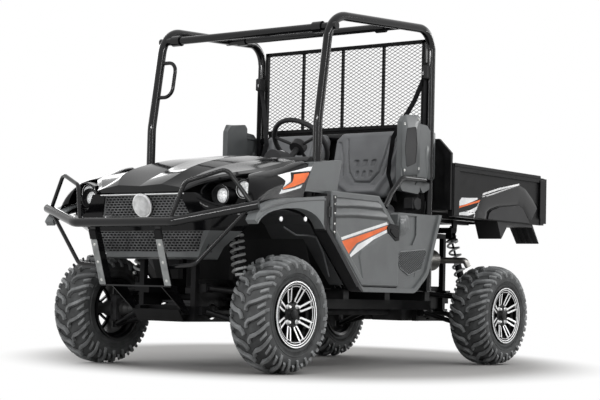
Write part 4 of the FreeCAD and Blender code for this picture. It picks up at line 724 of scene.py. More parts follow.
class VEHICLE_OT_finishes(VehicleOperator):
    """Makes the finishes and puts them on the frame's own nodes."""

    bl_idname = "vehicle.finishes"
    bl_label = "Finishes"

    def execute(self, context):
        make_finishes(context.scene.vehicle_finish)
        for finish, nodes in NODE_FINISH.items():
            for node in nodes:
                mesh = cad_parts[node].data
                mesh.materials.clear()
                mesh.materials.append(FINISH[finish])
        return {"FINISHED"}


# ------------------------------------------------------------------ wheels
BEAD_R = 0.1722         # radius at which the tyre's wall meets the rim
WALL_END = 2.2          # section angle of the bead


def carcass(t, width, radius):
    """Tyre section: a squarish oval (superellipse) about the widest point; t runs from one bead to the other.

    Above the widest point the radius grows by A cos^n t and the half width by B sin^n t; below it the wall
    falls to the bead and draws in by the power 1.6 of the way down. Returns radius and width station."""
    power = 0.72
    widest, half = radius * 0.80, width / 2
    c, s = np.cos(t), np.sin(t)
    fall = np.clip((np.abs(t) - math.pi / 2) / (WALL_END - math.pi / 2), 0, 1)
    rise = (radius - widest) * np.maximum(c, 0.0) ** power
    r = widest + rise - fall * (widest - BEAD_R)
    across = np.where(fall > 0, 1 - 0.105 * fall ** 1.6, np.abs(s) ** power)
    return r, half * np.sign(s) * across


def on_tyre(points, width, radius, rise):
    """Maps (turn angle, section angle, height) to the tyre: a height of 1 stands out by a lug's full rise."""
    turn, t, h = points[:, 0], points[:, 1], points[:, 2]
    r, y = carcass(t, width, radius)
    c, s = np.cos(t), np.sin(t)
    r = r + rise * h * np.maximum(c, 0) ** 0.4
    y = y + 0.35 * rise * h * np.sign(s) * np.abs(s) ** 4
    return np.stack([r * np.sin(turn), y, r * np.cos(turn)], axis=1)


def lug(centre_line, half_width):
    """Block on the tyre's (turn, section angle, height) chart: a chamfered section along a centre line."""
    line = np.array(centre_line, float)
    half = np.array(half_width, float)
    tangent = np.gradient(line, axis=0)
    tangent /= np.linalg.norm(tangent, axis=1)[:, None]
    normal = np.stack([-tangent[:, 1], tangent[:, 0]], axis=1)
    section = np.array([(-1.05, -0.3), (-1.0, 0.72), (-0.72, 1.0), (0.72, 1.0), (1.0, 0.72), (1.05, -0.3)])
    rows = line[:, None] + section[None, :, :1] * half[:, None, None] * normal[:, None]
    height = np.broadcast_to(section[None, :, 1:], (len(line), len(section), 1)).copy()
    body = np.concatenate([rows, height], axis=2)
    first, last = body[:1].copy(), body[-1:].copy()
    first[..., :2] -= tangent[0] * half[0] * 0.35
    last[..., :2] += tangent[-1] * half[-1] * 0.35
    first[..., 2] = last[..., 2] = -0.3
    body = np.concatenate([first, body, last])
    body = np.concatenate([body, body[:, :1]], axis=1)
    return sheet_of(body)


LUG_SHADOW_REACH = 0.0042       # how far the painted shadow round a lug's foot reaches out
LUG_MARGIN = 0.0155     # how much narrower the carcass is than the frame's tyre, for the lugs' outer ends
WALL_RINGS = (1.72, 2.02)       # section angles of the raised rings on each wall
RIB_BAND, RIBS = 1.86, 150      # section angle of the ribbed band on each wall, and its ribs


def tyre_walls(width, radius):
    """Carcass with its inside, the raised rings and the ribbed band on each wall."""
    r, y = carcass(np.linspace(-WALL_END, WALL_END, 57), width, radius)
    wall = np.stack([r, y], 1)
    inside = np.stack([np.maximum(r[::-1] - 0.012, BEAD_R), y[::-1] * 0.88], 1)
    parts = [lathe(np.concatenate([wall, inside, wall[:1]]), steps=96)]
    for side in (-1, 1):
        for t_ring in WALL_RINGS:
            (r,), (y,) = carcass(np.array([side * t_ring]), width, radius)
            parts.append(lathe([(r - 0.004, y * 0.985), (r - 0.002, y + side * 0.003),
                                (r + 0.002, y + side * 0.003), (r + 0.004, y * 0.985)], steps=96))
    points, faces = brick((-0.0016, -0.002, -0.012), (0.0016, 0.002, 0.012), 0.0006)
    faces = (faces[None] + (np.arange(RIBS) * len(points))[:, None, None]).reshape(-1, 4)
    (r_band,), (y_band,) = carcass(np.array([RIB_BAND]), width, radius)
    turn = np.linspace(0, 2 * math.pi, RIBS, endpoint=False)[:, None]
    for side in (-1, 1):
        x, y, z = (points + (0, side * y_band, r_band)).T[:, None]
        ring = np.stack([x * np.cos(turn) + z * np.sin(turn), y + 0 * turn, z * np.cos(turn) - x * np.sin(turn)],
                        axis=2)
        parts.append((ring.reshape(-1, 3), faces))
    return parts


def tyre_blocks(width, radius, rise, count):
    """Lugs and the painted shadows round their feet: the blocks of one pitch are drawn on the chart and carried round
    both halves.
    """
    pitch = 2 * math.pi / count
    # long lug: it starts beside the centre line, bends round and runs out to the shoulder
    s = np.linspace(0, 1, 9)
    bend = np.clip((s - 0.18) / 0.82, 0, 1)
    long_line = np.stack([pitch * (-0.28 + 0.40 * np.clip(s / 0.22, 0, 1) + 0.62 * bend ** 1.25),
                          0.05 + 0.10 * s + 1.12 * bend], 1)
    long_half = (0.0090 + 0.0035 * s) / radius
    # shoulder lug between two long ones, out over the edge
    s = np.linspace(0, 1, 7)
    short_line = np.stack([pitch * (0.90 + 0.32 * s), 0.72 + s * 0.48], 1)
    short_half = (0.0080 + 0.0030 * s) / radius
    # block that carries the lugs' ends down the wall
    s = np.linspace(0, 1, 5)
    wall_line = np.stack([pitch * (0.76 + 0.08 * s), 1.30 + s * 0.24], 1)
    lugs = [lug(long_line, long_half), lug(short_line, short_half), lug(wall_line, np.full(5, 0.0105) / radius)]
    # painted shadow: dark blocks a little wider than the lugs, lying low round their feet
    shadow_margin = LUG_SHADOW_REACH / radius
    lug_shadows = [lug(long_line, long_half + shadow_margin), lug(short_line, short_half + shadow_margin)]
    groups = []
    for blocks, tall, base in ((lugs, 1.0, 0.0), (lug_shadows, 0.05, 0.02)):
        chart = [(points * (-1, sign, tall) + (k * pitch + shift, 0, base), faces) for k in range(count)
                 for sign, shift in ((1, 0.0), (-1, pitch * 0.5)) for points, faces in blocks]
        groups.append([mapped(joined(chart), lambda p: on_tyre(p, width, radius, rise))])
    return groups


class VEHICLE_OT_tyres(VehicleOperator):
    """Tyres: a carcass of revolution with rows of curved lugs carried round it."""

    bl_idname = "vehicle.tyres"
    bl_label = "Tyres"

    def execute(self, context):
        rise = self.sizes.lug_height
        for wheel in WHEELS:
            node = "tyre_" + wheel
            size, centre = high(node) - low(node), middle(node)
            width, radius = size[1] - LUG_MARGIN, size[2] / 2 - rise
            lugs, lug_shadows = tyre_blocks(width, radius, rise, self.sizes.lug_count)
            # the lugs' painted shadows take the dark boot rubber
            for name, parts, finish in (("carcass_", tyre_walls(width, radius), "tyre"), ("lugs_", lugs, "lug"),
                                        ("lug_painted_shadows_", lug_shadows, "boot")):
                if wheel.endswith("right"):
                    parts = [mirrored(p) for p in parts]
                piece(name + wheel, [moved(p, centre) for p in parts], finish, "wheel_" + wheel,
                      replaces=(node,) if name == "carcass_" else ())
        return {"FINISHED"}


RIM_SPOKES = 8
DISC = ((0.054, -0.032), (0.1447, -0.006))      # radius and station of the dished face, from the flange
WINDOW = ((0.058, 0.004), (0.139, 0.036))       # radius and half width of the windows between the spokes
SLOT = ((0.072, 0.006), (0.139, 0.010))         # the same for the slot down each spoke
BAR_INNER, BAR_WIDE = 0.0022, 0.0105            # nearest that a bar's face comes to its spoke's middle; widest face


def disc_station(r):
    """Station of the dished face at a radius: a straight cone from the hub out to the flange."""
    (r0, s0), (r1, s1) = DISC
    return s0 + (s1 - s0) * (r - r0) / (r1 - r0)


def half_width(row, r):
    """Half width of a window or slot at a radius."""
    (r0, w0), (r1, w1) = row
    return w0 + (w1 - w0) * (r - r0) / (r1 - r0)


def on_disc(r, across, angle, lift):
    """Point of the dished face from its radius and sideways place on a spoke at an angle."""
    x = r * math.cos(angle) - across * math.sin(angle)
    z = r * math.sin(angle) + across * math.cos(angle)
    return np.stack([x, disc_station(r) + lift + 0 * x, z], axis=-1)


def spoke_faces(angle):
    """Machined faces of a split spoke's two bars, each between the slot's edge and the window's edge."""
    r = np.linspace(0.066, 0.139, 9)
    inner = np.where(r < SLOT[0][0], BAR_INNER, np.maximum(half_width(SLOT, r) + 0.0008, BAR_INNER))
    outer = np.minimum(r * math.tan(math.pi / RIM_SPOKES) - half_width(WINDOW, r) - 0.0012, inner + BAR_WIDE)
    across = np.stack([inner, outer], axis=1)
    return [thick_sheet(on_disc(r[:, None], across * side, angle, 0.0008), (0, -0.0016, 0)) for side in (-1, 1)]


def clamp_tab(angle, inset, top):
    """Tab that joins the disc to the flange, drawn in by an inset; it widens outwards."""
    near, half_near = 0.1385 + inset, 0.0150 - 1.1 * inset
    far, half_far = 0.1560 - inset, 0.0230 - inset
    c, s = math.cos(angle), math.sin(angle)
    return slab([(a * c - b * s, a * s + b * c) for a, b in ((near, -half_near), (near, half_near), (far, half_far),
                                                             (far, -half_far))], "xz", -0.0120, top, 0.0008)


class VEHICLE_OT_rims(VehicleOperator):
    """Rims: machined faces on the split spokes and rings, clamp tabs, hub cap and wheel nuts."""

    bl_idname = "vehicle.rims"
    bl_label = "Rims"

    def execute(self, context):
        bright = [lathe([(0.1640, -0.0030), (0.1650, 0.0012), (0.1705, 0.0012), (0.1712, -0.002), (0.1640, -0.0045)],
                        steps=96)]
        for r0, s0, r1, s1 in ((0.1540, -0.0043, 0.1580, -0.0027), (0.1425, -0.0066, 0.1447, -0.0060)):
            bright.append(lathe([(r0, s0 - 0.002), (r0, s0 + 0.0014), (r1, s1 + 0.0014), (r1, s1 - 0.002)], steps=96))
        dark, nuts = [], []
        for k in range(RIM_SPOKES):
            angle = (k + 0.5) * 2 * math.pi / RIM_SPOKES
            # each tab has a dark pocket in its bright rim
            bright += spoke_faces(angle) + [clamp_tab(angle, 0.0, -0.0030)]
            dark.append(clamp_tab(angle, 0.0028, -0.0022))
        for k in range(4):
            angle = (k + 0.5) * math.pi / 2
            at = (0.055 * math.cos(angle), DISC[0][1], 0.055 * math.sin(angle))
            nuts.append(lathe([(0, 0.022), (0.006, 0.022), (0.0085, 0.018), (0.0098, 0.006), (0.0125, 0.003),
                               (0.0125, 0), (0, 0)], at, (0, 1, 0), 12))
        hub = DISC[0][1] + 0.012
        nuts.append(lathe([(0.0300, hub - 0.004), (0.0312, hub - 0.0015), (0.0322, hub - 0.0015), (0.033, hub - 0.006)],
                          steps=40))
        dark.append(lathe([(0, hub + 0.010), (0.018, hub + 0.0095), (0.026, hub + 0.006), (0.0295, hub),
                           (0.0295, hub - 0.004), (0.036, hub - 0.0045), (0.0405, hub - 0.012), (0.0405, hub - 0.016),
                           (0, hub - 0.016)], steps=40))
        for wheel in WHEELS:
            node, left = "rim_" + wheel, wheel.endswith("left")
            centre = middle(node)
            centre[1] = (high(node) if left else low(node))[1]
            for name, group, finish in (("rim_faces_", bright, "machined"), ("rim_pockets_", dark, "alloy_black"),
                                        ("wheel_nuts_", nuts, "machined")):
                parts = group if left else [mirrored(p) for p in group]
                piece(name + wheel, [moved(p, centre) for p in parts], finish, "wheel_" + wheel)
        return {"FINISHED"}


# ------------------------------------------------------------------ running gear
SHOCKS = (  # x, y and z of the lower eye, y and z of the upper eye, factor of the spring's wire
    (1.075, 0.362, 0.445, 0.318, 0.752, 1.25),
    (-1.075, 0.448, 0.4364, 0.335, 0.800, 1.1),
)
SPRING_R, SPRING_TURNS = 0.0335, 6.5
SPRING_LOW, SPRING_HIGH = 0.052, 0.036       # the springs' seats: distance from the lower and from the upper eye


class VEHICLE_OT_shocks(VehicleOperator):
    """Coil-over shocks: damper, rod, spring seats, eyes and a true helical spring."""

    bl_idname = "vehicle.shocks"
    bl_label = "Shocks"

    def execute(self, context):
        wire = self.sizes.spring_wire
        metal, springs = [], []
        for x, y0, z0, y1, z1, thickness in SHOCKS:
            a, b = np.array((x, y0, z0)), np.array((x, y1, z1))
            length = np.linalg.norm(b - a)
            upward = (b - a) / length
            metal += [
                lathe([(0, 0.010), (0.019, 0.010), (0.022, 0.018), (0.022, length * 0.55), (0.018, length * 0.56),
                       (0.007, length * 0.57), (0.007, length - 0.012), (0, length - 0.012)], a, upward, 32),
                lathe([(0.020, 0.040), (0.038, 0.041), (0.040, 0.046), (0.030, 0.050), (0.020, 0.050)], a, upward, 32),
                lathe([(0.007, length - 0.036), (0.038, length - 0.035), (0.040, length - 0.030),
                       (0.024, length - 0.020), (0.007, length - 0.018)], a, upward, 32)]
            for eye in (a, b):
                metal.append(rod(eye - (0.0195, 0, 0), eye + (0.0195, 0, 0), 0.0148, 24, 0.001))
                metal.append(rod(eye - (0.0200, 0, 0), eye + (0.0200, 0, 0), 0.0085, 16))
            side = np.array((1.0, 0, 0))
            other = np.cross(upward, side)
            t = np.linspace(0, 1, 180)[:, None]
            angle = t * SPRING_TURNS * 2 * math.pi
            # the end turns lie flat on the seats
            climb = np.clip((t - 0.04) / 0.92, 0, 1)
            path = a + upward * (SPRING_LOW + wire + climb * (length - SPRING_HIGH - SPRING_LOW - 2 * wire)) \
                + SPRING_R * (np.cos(angle) * side + np.sin(angle) * other)
            springs.append(sweep(path, circle(wire * thickness, 10), upward))
        piece("shock_bodies", both(metal), "black_steel", "root", replaces=("shocks",))
        piece("coil_springs", both(springs), "spring_grey", "root")
        return {"FINISHED"}


# ------------------------------------------------------------------ rear screen
STRAND = box_section(0.0011, 0.0014)


class VEHICLE_OT_screen(VehicleOperator):
    """Rear screen: square tube frame, pierced ribs and expanded metal of crossing strands."""

    bl_idname = "vehicle.screen"
    bl_label = "Rear screen"

    def execute(self, context):
        lo, hi = low("rear_screen"), high("rear_screen")
        x = (lo[0] + hi[0]) / 2
        y1 = hi[1] - 0.012
        z0, z1, rail = lo[2], hi[2], 0.022
        frame_parts = [brick((lo[0], -y1, z0), (hi[0], y1, z0 + rail)), brick((lo[0], -y1, z1 - rail), (hi[0], y1, z1)),
                       brick((lo[0], -y1, z0), (hi[0], -y1 + rail, z1)), brick((lo[0], y1 - rail, z0), (hi[0], y1, z1))]
        for y in (-0.3, 0.0, 0.3):
            frame_parts.append(brick((x - 0.007, y - 0.008, z0 + 0.002), (x + 0.007, y + 0.008, z1 - 0.002), 0.001))
        for z in (z0 + 0.060, z1 - 0.150):
            frame_parts += both([brick((x - 0.008, y1 - 0.002, z - 0.012), (x + 0.008, hi[1], z + 0.012))])
        cell_w, cell_h = self.sizes.screen_pitch
        inside_y, inside_z0, inside_z1 = y1 - 0.008, z0 + 0.008, z1 - 0.008
        slope = cell_h / cell_w
        strands = []
        reach = inside_y * 2 * slope + (inside_z1 - inside_z0)
        for k in range(int(reach / cell_h) + 1):
            # the strand z = c + slope y, cut off at the frame
            c = inside_z0 - inside_y * slope + k * cell_h
            y_from = max(-inside_y, (inside_z0 - c) / slope)
            y_to = min(inside_y, (inside_z1 - c) / slope)
            if y_to - y_from > cell_w * 0.3:
                strands.append(((y_from, c + slope * y_from), (y_to, c + slope * y_to)))
        mesh_parts = []
        for (ya, za), (yb, zb) in strands:
            for flip in (1, -1):
                a, b = (x + 0.0006 * flip, ya * flip, za), (x + 0.0006 * flip, yb * flip, zb)
                mesh_parts.append(sweep([a, b], STRAND, up=(1, 0, 0)))
        piece("screen_frame", frame_parts, "black_steel", "root", replaces=("rear_screen",))
        piece("screen_mesh", mesh_parts, "black_steel", "root")
        return {"FINISHED"}


# ------------------------------------------------------------------ nose
GRILLES = (  # half width and height of the bottom and of the top, rows
    (0.312, 0.786, 0.266, 0.904, 9),
    (0.322, 0.612, 0.378, 0.722, 8),
)
GRILLE_LEAN, GRILLE_FACE = 0.30, (1.4617, 0.920)     # slope of the plate, and its x and z at the top
LAMPS = ((1.362, 0.460, 0.901, 0.046), (1.296, 0.546, 0.937, 0.046))     # x, y, z and radius of each lens


class VEHICLE_OT_grilles(VehicleOperator):
    """Grilles: leaning plates of staggered slots, the pale strip over them and a plain round disc."""

    bl_idname = "vehicle.grilles"
    bl_label = "Grilles"

    def execute(self, context):
        cell, bar, deep = self.sizes.grille_cell, 0.0021, 0.005
        parts = []
        for w0, z0, w1, z1, rows in GRILLES:
            step = (z1 - z0) / rows
            for row in range(rows + 1):
                z = z0 + step * row
                half = w0 + (w1 - w0) * row / rows
                thick = bar * (2.2 if row in (0, rows) else 1)
                parts.append(brick((-deep, -half, z - thick), (0, half, z + thick), 0.0006))
                if row == rows:
                    continue
                half = w0 + (w1 - w0) * (row + 0.5) / rows
                count = int(2 * half / cell)
                for k in range(-count // 2, count // 2 + 2):
                    y = (k + 0.5 * (row % 2)) * cell
                    if abs(y) < half - 0.006:
                        parts.append(brick((-deep, y - bar, z), (0, y + bar, z + step), 0.0006))
                for side in (-1, 1):
                    y = side * (half - 0.003)
                    parts.append(brick((-deep, y - 0.005, z), (0, y + 0.005, z + step), 0.0006))
        face, top = GRILLE_FACE

        def lean(points):
            return points + np.stack([face - GRILLE_LEAN * (top - points[:, 2]), 0 * points[:, 1], 0 * points[:, 2]], 1)

        piece("grille_mesh", mapped(joined(parts), lean), "lattice", "root",
              replaces=("grilles",))
        # dark core of thin fins behind both openings
        fins = [brick((-0.034, -w1, z0), (-0.020, w1, z1), 0.001) for w0, z0, w1, z1, rows in GRILLES]
        for w0, z0, w1, z1, rows in GRILLES:
            fins += [brick((-0.020, y - 0.0012, z0), (-0.016, y + 0.0012, z1), 0.0004)
                     for y in np.arange(-w1 + 0.01, w1, 0.012)]
        piece("nose_core", mapped(joined(fins), lean), "dull", "root")
        strip = [brick((1.4560, -0.292, 0.9050), (1.4700, 0.292, 0.9120), 0.0015)]
        strip += both([sweep([(1.4600, 0.294, 0.908), (1.4230, 0.326, 0.780)], circle(0.0035, 8))])
        piece("nose_strip", strip, "machined", "root")
        # plain round disc in its ring
        centre = np.array((1.4545, 0.0, 0.852))
        axis = np.array((1.0, 0, -GRILLE_LEAN))
        piece("nose_disc", lathe([(0, 0), (0.052, 0), (0.0575, 0.002), (0.0575, 0.008), (0.054, 0.011),
                                  (0.050, 0.0095), (0, 0.0115)], centre, axis, 64), "disc", "root")
        piece("nose_ring", lathe([(0.0578, 0.001), (0.0640, 0.001), (0.0640, 0.008), (0.0578, 0.008), (0.0578, 0.001)],
                                 centre, axis, 64), "machined", "root")
        return {"FINISHED"}


GUARD_FOOT, GUARD_HEAD = (1.4885, 0.436), (1.5985, 0.762)      # x and z of the ends of the guard's leaning posts
GUARD_POST_Y = 0.227
GUARD_BAR, CLAMP_R = (1.602, 0.758), 0.0236     # x and z of the main bar's middle, radius of the clamp round it


class VEHICLE_OT_guard(VehicleOperator):
    """Brush guard: pale plates with bolts on the leaning posts and black clamps over the bar."""

    bl_idname = "vehicle.guard"
    bl_label = "Brush guard"

    def execute(self, context):
        (x0, z0), (x1, z1) = GUARD_FOOT, GUARD_HEAD
        slope = np.array((x1 - x0, 0, z1 - z0))
        up = slope / np.linalg.norm(slope)
        out = np.array((up[2], 0, -up[0]))

        def on_post(points):
            """Turns points (out, across, up from the foot) to the post's slope."""
            return ((x0, GUARD_POST_Y, z0) + points[:, :1] * out + points[:, 1:2] * np.array((0, 1, 0))
                    + points[:, 2:] * up)

        plate = mapped(brick((0.0062, -0.0205, 0.004), (0.0100, 0.0205, 0.249), 0.0012), on_post)
        cover = mapped(brick((-0.004, -0.0230, 0.250), (0.0105, 0.0230, 0.300), 0.002), on_post)
        bolts = [bolt(on_post(np.array([(0.0100, 0, rise)]))[0], out, 0.0062, 0.004) for rise in (0.030, 0.128, 0.222)]
        bar = np.array((GUARD_BAR[0], GUARD_POST_Y, GUARD_BAR[1]))
        clamp = sweep([bar - (0, 0.021, 0), bar + (0, 0.021, 0)], circle(CLAMP_R, 24))
        piece("guard_plates", both([plate]), "pale_steel", "root")
        piece("guard_clamps", both([cover, clamp]), "black_steel", "root")
        piece("guard_bolts", both(bolts), "zinc", "root")
        return {"FINISHED"}


class VEHICLE_OT_lamps(VehicleOperator):
    """Lamps: domed glass with six small studs and a bright bezel ring on each of the four."""

    bl_idname = "vehicle.lamps"
    bl_label = "Lamps"

    def execute(self, context):
        glass, rings = [], []
        for (x, y, z, r), inner in zip(LAMPS, (True, False)):
            at = (x, y, z)
            wide = r * (0.80 if inner else 0.96)
            glass.append(lathe([(0, 0.010), (wide * 0.5, 0.0085), (wide * 0.85, 0.004), (wide, -0.001), (wide, -0.006),
                                (0, -0.006)], at, (1, 0, 0), 48))
            for y_stud, z_stud in (y, z) + circle(wide * 0.30, 6):
                rings.append(rod((x + 0.004, y_stud, z_stud), (x + 0.0105, y_stud, z_stud), 0.0035, 10))
            lip, edge = (0.020, 0.0490) if inner else (0.004, 0.0455)
            rings.append(lathe([(edge, lip), (edge + 0.0025, lip + 0.0018), (edge + 0.005, lip + 0.0005),
                                (edge + 0.005, lip - 0.003), (edge, lip - 0.003)], at, (1, 0, 0), 64))
        piece("lamp_glass_with_painted_glow", both(glass), "glass", "root")
        piece("lamp_rings", both(rings), "machined", "root")
        return {"FINISHED"}


# ------------------------------------------------------------------ seats
SHIELD = ((0.050, 1.372), (0.058, 1.219), (0.102, 1.098), (0.199, 1.034), (0.385, 1.034), (0.453, 1.136),
          (0.496, 1.300), (0.505, 1.372))
SEAT_GROOVES = (  # line in y and z, depth and half width
    (((0.132, 1.342), (0.149, 1.240), (0.174, 1.143), (0.226, 1.080), (0.334, 1.077), (0.389, 1.137), (0.415, 1.243),
      (0.433, 1.348)), 0.0130, 0.0060),
    (((0.062, 1.327), (0.082, 1.322), (0.113, 1.241), (0.131, 1.120)), 0.0110, 0.0055),
    (((0.500, 1.327), (0.480, 1.330), (0.447, 1.241), (0.420, 1.120)), 0.0110, 0.0055),
    (((0.200, 1.062), (0.375, 1.062)), 0.0030, 0.0070),
)
SEAT_CHANNELS = (  # line in x and y, depth
    (((-0.150, 0.150), (0.200, 0.135), (0.318, 0.150)), 0.009),
    (((-0.150, 0.410), (0.200, 0.425), (0.318, 0.410)), 0.009),
    (((0.225, 0.160), (0.235, 0.280), (0.225, 0.400)), 0.007),
    (((0.090, 0.165), (0.095, 0.280), (0.090, 0.395)), 0.005),
    (((-0.040, 0.165), (-0.035, 0.280), (-0.040, 0.395)), 0.005),
)
CHANNEL_HALF = 0.006
SHIELD_MIDDLE = (0.279, 1.24)       # y and z
ROLL_HEIGHT, ROLL_HALF, POCKET_DEPTH = 0.018, 0.018, 0.0130
CUSHION_TOP, CUSHION_RISE = 0.957, 0.018            # height at the rear, and how much higher the front is
BACK_FOOT, BACK_LEAN = (-0.112, 0.985), 0.2325      # x and z at the foot of the backs' front, and its slope
BACK_REAR, PAD_BOTTOM = -0.298, 0.8556              # the planes that the pads rest on
SEAT_POCKETS = ((0.217, 1.195), (0.279, 1.195), (0.341, 1.195), (0.233, 1.129), (0.281, 1.129), (0.329, 1.129))


def back_carve(y, z):
    """Depth of the seat back's face: a raised roll just outside the shield, sewn grooves and rows of pockets."""
    roll = SHIELD_MIDDLE + (np.array(SHIELD) - SHIELD_MIDDLE) * (1.03, 1.05)
    deep = -ROLL_HEIGHT * np.exp(-(distance_to(y, z, roll) / ROLL_HALF) ** 2)
    for line, depth, width in SEAT_GROOVES:
        deep = deep + depth * np.exp(-(distance_to(y, z, line) / width) ** 2)
    for y0, z0 in SEAT_POCKETS:
        tall, wide = (0.019, 0.017) if z0 > 1.16 else (0.018, 0.012)
        q = ((y - y0 - 0.15 * (z - z0)) / wide) ** 4 + ((z - z0) / tall) ** 4
        deep = deep + POCKET_DEPTH * np.exp(-q ** 2)
    return deep


def seat_carve(x, y):
    """Depth of the cushion's top: two lengthwise channels and three cross channels between them."""
    return sum(depth * np.exp(-(distance_to(x, y, line) / CHANNEL_HALF) ** 2) for line, depth in SEAT_CHANNELS)


class VEHICLE_OT_seats(VehicleOperator):
    """Seats: crowned backs and cushions with rolled edges, sewn channels and moulded pockets."""

    bl_idname = "vehicle.seats"
    bl_label = "Seats"

    def execute(self, context):
        outline = rounded_loop([(0.105, 0.985), (0.455, 0.985), (0.513, 1.100), (0.516, 1.345), (0.490, 1.387),
                                (0.070, 1.387), (0.044, 1.345), (0.047, 1.100)], 240, 0.026)
        profile = [(0, 0.010), (0.70, 0.011), (0.88, 0.013), (0.95, 0.020), (0.985, 0.034), (1.0, 0.052),
                   (0.985, 0.070), (0.975, 0.085), (0.93, 0.092), (0, 0.092)]
        grid = cushion(outline, back_carve, profile)
        front = BACK_FOOT[0] - BACK_LEAN * (grid[..., 1] - BACK_FOOT[1])
        back = np.stack([np.maximum(front - grid[..., 2], BACK_REAR), grid[..., 0], grid[..., 1]], axis=2)
        piece("seat_back_pads", both([sheet_of(back)]), "seat", "root",
              replaces=("seat_backs",), angle=60)
        outline = rounded_loop([(-0.165, 0.060), (-0.150, 0.044), (0.300, 0.044), (0.333, 0.090), (0.333, 0.470),
                                (0.300, 0.516), (-0.150, 0.516), (-0.165, 0.500)], 200, 0.010)
        profile = [(0, 0.000), (0.70, 0.003), (0.86, 0.008), (0.94, 0.018), (0.985, 0.034), (1.0, 0.050),
                   (0.985, 0.066), (0.988, 0.090), (0.975, 0.1185), (0, 0.1185)]
        grid = cushion(outline, seat_carve, profile)
        top = CUSHION_TOP + CUSHION_RISE * ease(grid[..., 0], -0.10, 0.25)
        lower = np.maximum(top - grid[..., 2], PAD_BOTTOM)
        pad = np.stack([grid[..., 0], grid[..., 1], lower], axis=2)
        piece("seat_cushion_pads", both([sheet_of(pad)]), "seat", "root",
              replaces=("seat_cushions",), angle=60)
        return {"FINISHED"}


# ------------------------------------------------------------------ side skins
DOOR_REAR = ((0.463, 0.144), (0.792, 0.144), (0.806, 0.182), (0.958, 0.346))       # z and x of the door's rear edge
DOOR_FRONT = ((0.463, 0.505), (0.757, 0.803), (0.958, 0.803))
DOOR_RIM = ((0.144, 0.463), (0.505, 0.463), (0.803, 0.757), (0.803, 0.958), (0.346, 0.958), (0.182, 0.806),
            (0.144, 0.792), (0.144, 0.463))
DOOR_Y, DOOR_BACK_Y = 0.7345, 0.7325        # the door's own face, under the skin's relief, and the skin's back
DOOR_BORDER, DOOR_SAG, DOOR_CROWN, DOOR_STEP = 0.0048, 0.012, 0.0015, 0.0045
DOOR_LEDGES = ((0.955, 0.0), (0.924, 0.0), (0.896, 0.0135), (0.890, 0.0130), (0.878, -0.0008), (0.872, -0.0008),
               (0.846, 0.0125), (0.840, 0.0120), (0.826, -0.0008), (0.79, 0.0005), (0.46, 0.0))
DOOR_PANEL = ((0.478, 0.440), (0.514, 0.561), (0.534, 0.621), (0.520, 0.654), (0.387, 0.703), (0.278, 0.748),
              (0.100, 0.822), (0.100, 0.440))       # x and z round the raised lower part


def door_face(x, z):
    """The door skin's y: a raised border, two stepped ledges under its top that sag forward, then a crowned field
    whose lower rear part stands a step higher."""
    rim = distance_to(x, z, DOOR_RIM)
    level = np.array(DOOR_LEDGES)[::-1]
    down = DOOR_SAG * ease(x, 0.45, 0.80) ** 2
    field = np.interp(z + down, level[:, 0], level[:, 1]) + DOOR_CROWN * ease(rim, 0.05, 0.14)
    inside = ease(rim, 0.030, 0.036)
    panel = np.array(DOOR_PANEL)
    edge = distance_to(x, z, closed(panel))
    within = inside_loop(x.ravel(), z.ravel(), panel).reshape(x.shape)
    field = field + DOOR_STEP * ease(np.where(within, edge, -edge), -0.003, 0.004)
    return DOOR_Y + DOOR_BORDER * ease(rim, 0, 0.006) * (1 - inside) + inside * field


class VEHICLE_OT_doors(VehicleOperator):
    """Doors: skins, hinge strips with screws, and latches with levers."""

    bl_idname = "vehicle.doors"
    bl_label = "Doors"

    def execute(self, context):
        z = np.linspace(0.463, 0.958, 150)
        skin = scan_plate(z, np.interp(z, *np.array(DOOR_REAR).T), np.interp(z, *np.array(DOOR_FRONT).T), door_face,
                          DOOR_BACK_Y, 110)
        strip = slab([(0.757, 0.935), (0.757, 0.712), (0.778, 0.734), (0.786, 0.752), (0.786, 0.935)], "xz", 0.737,
                     0.7408, 0.001)
        screws = [bolt((0.771, 0.7405, z0), (0, 1, 0), 0.0042, 0.003) for z0 in (0.742, 0.785, 0.840, 0.888, 0.925)]
        latch = slab([(0.146, 0.790), (0.146, 0.722), (0.185, 0.716), (0.262, 0.760), (0.268, 0.790), (0.235, 0.812),
                      (0.160, 0.806)], "xz", 0.736, 0.7425, 0.002)
        lever = slab([(0.160, 0.776), (0.160, 0.738), (0.190, 0.734), (0.243, 0.764), (0.240, 0.782), (0.205, 0.790)],
                     "xz", 0.742, 0.7475, 0.002)
        for side, turn in (("left", lambda p: p), ("right", mirrored)):
            body = side + "_door"
            piece("door_skin_" + side, [turn(skin)], "grey", body, angle=28)
            piece("hinge_strip_" + side, [turn(strip)], "dull", body)
            piece("door_latch_" + side, [turn(latch), turn(lever)], "black_steel", body)
            piece("door_screws_" + side, [turn(p) for p in screws], "zinc", body)
        return {"FINISHED"}


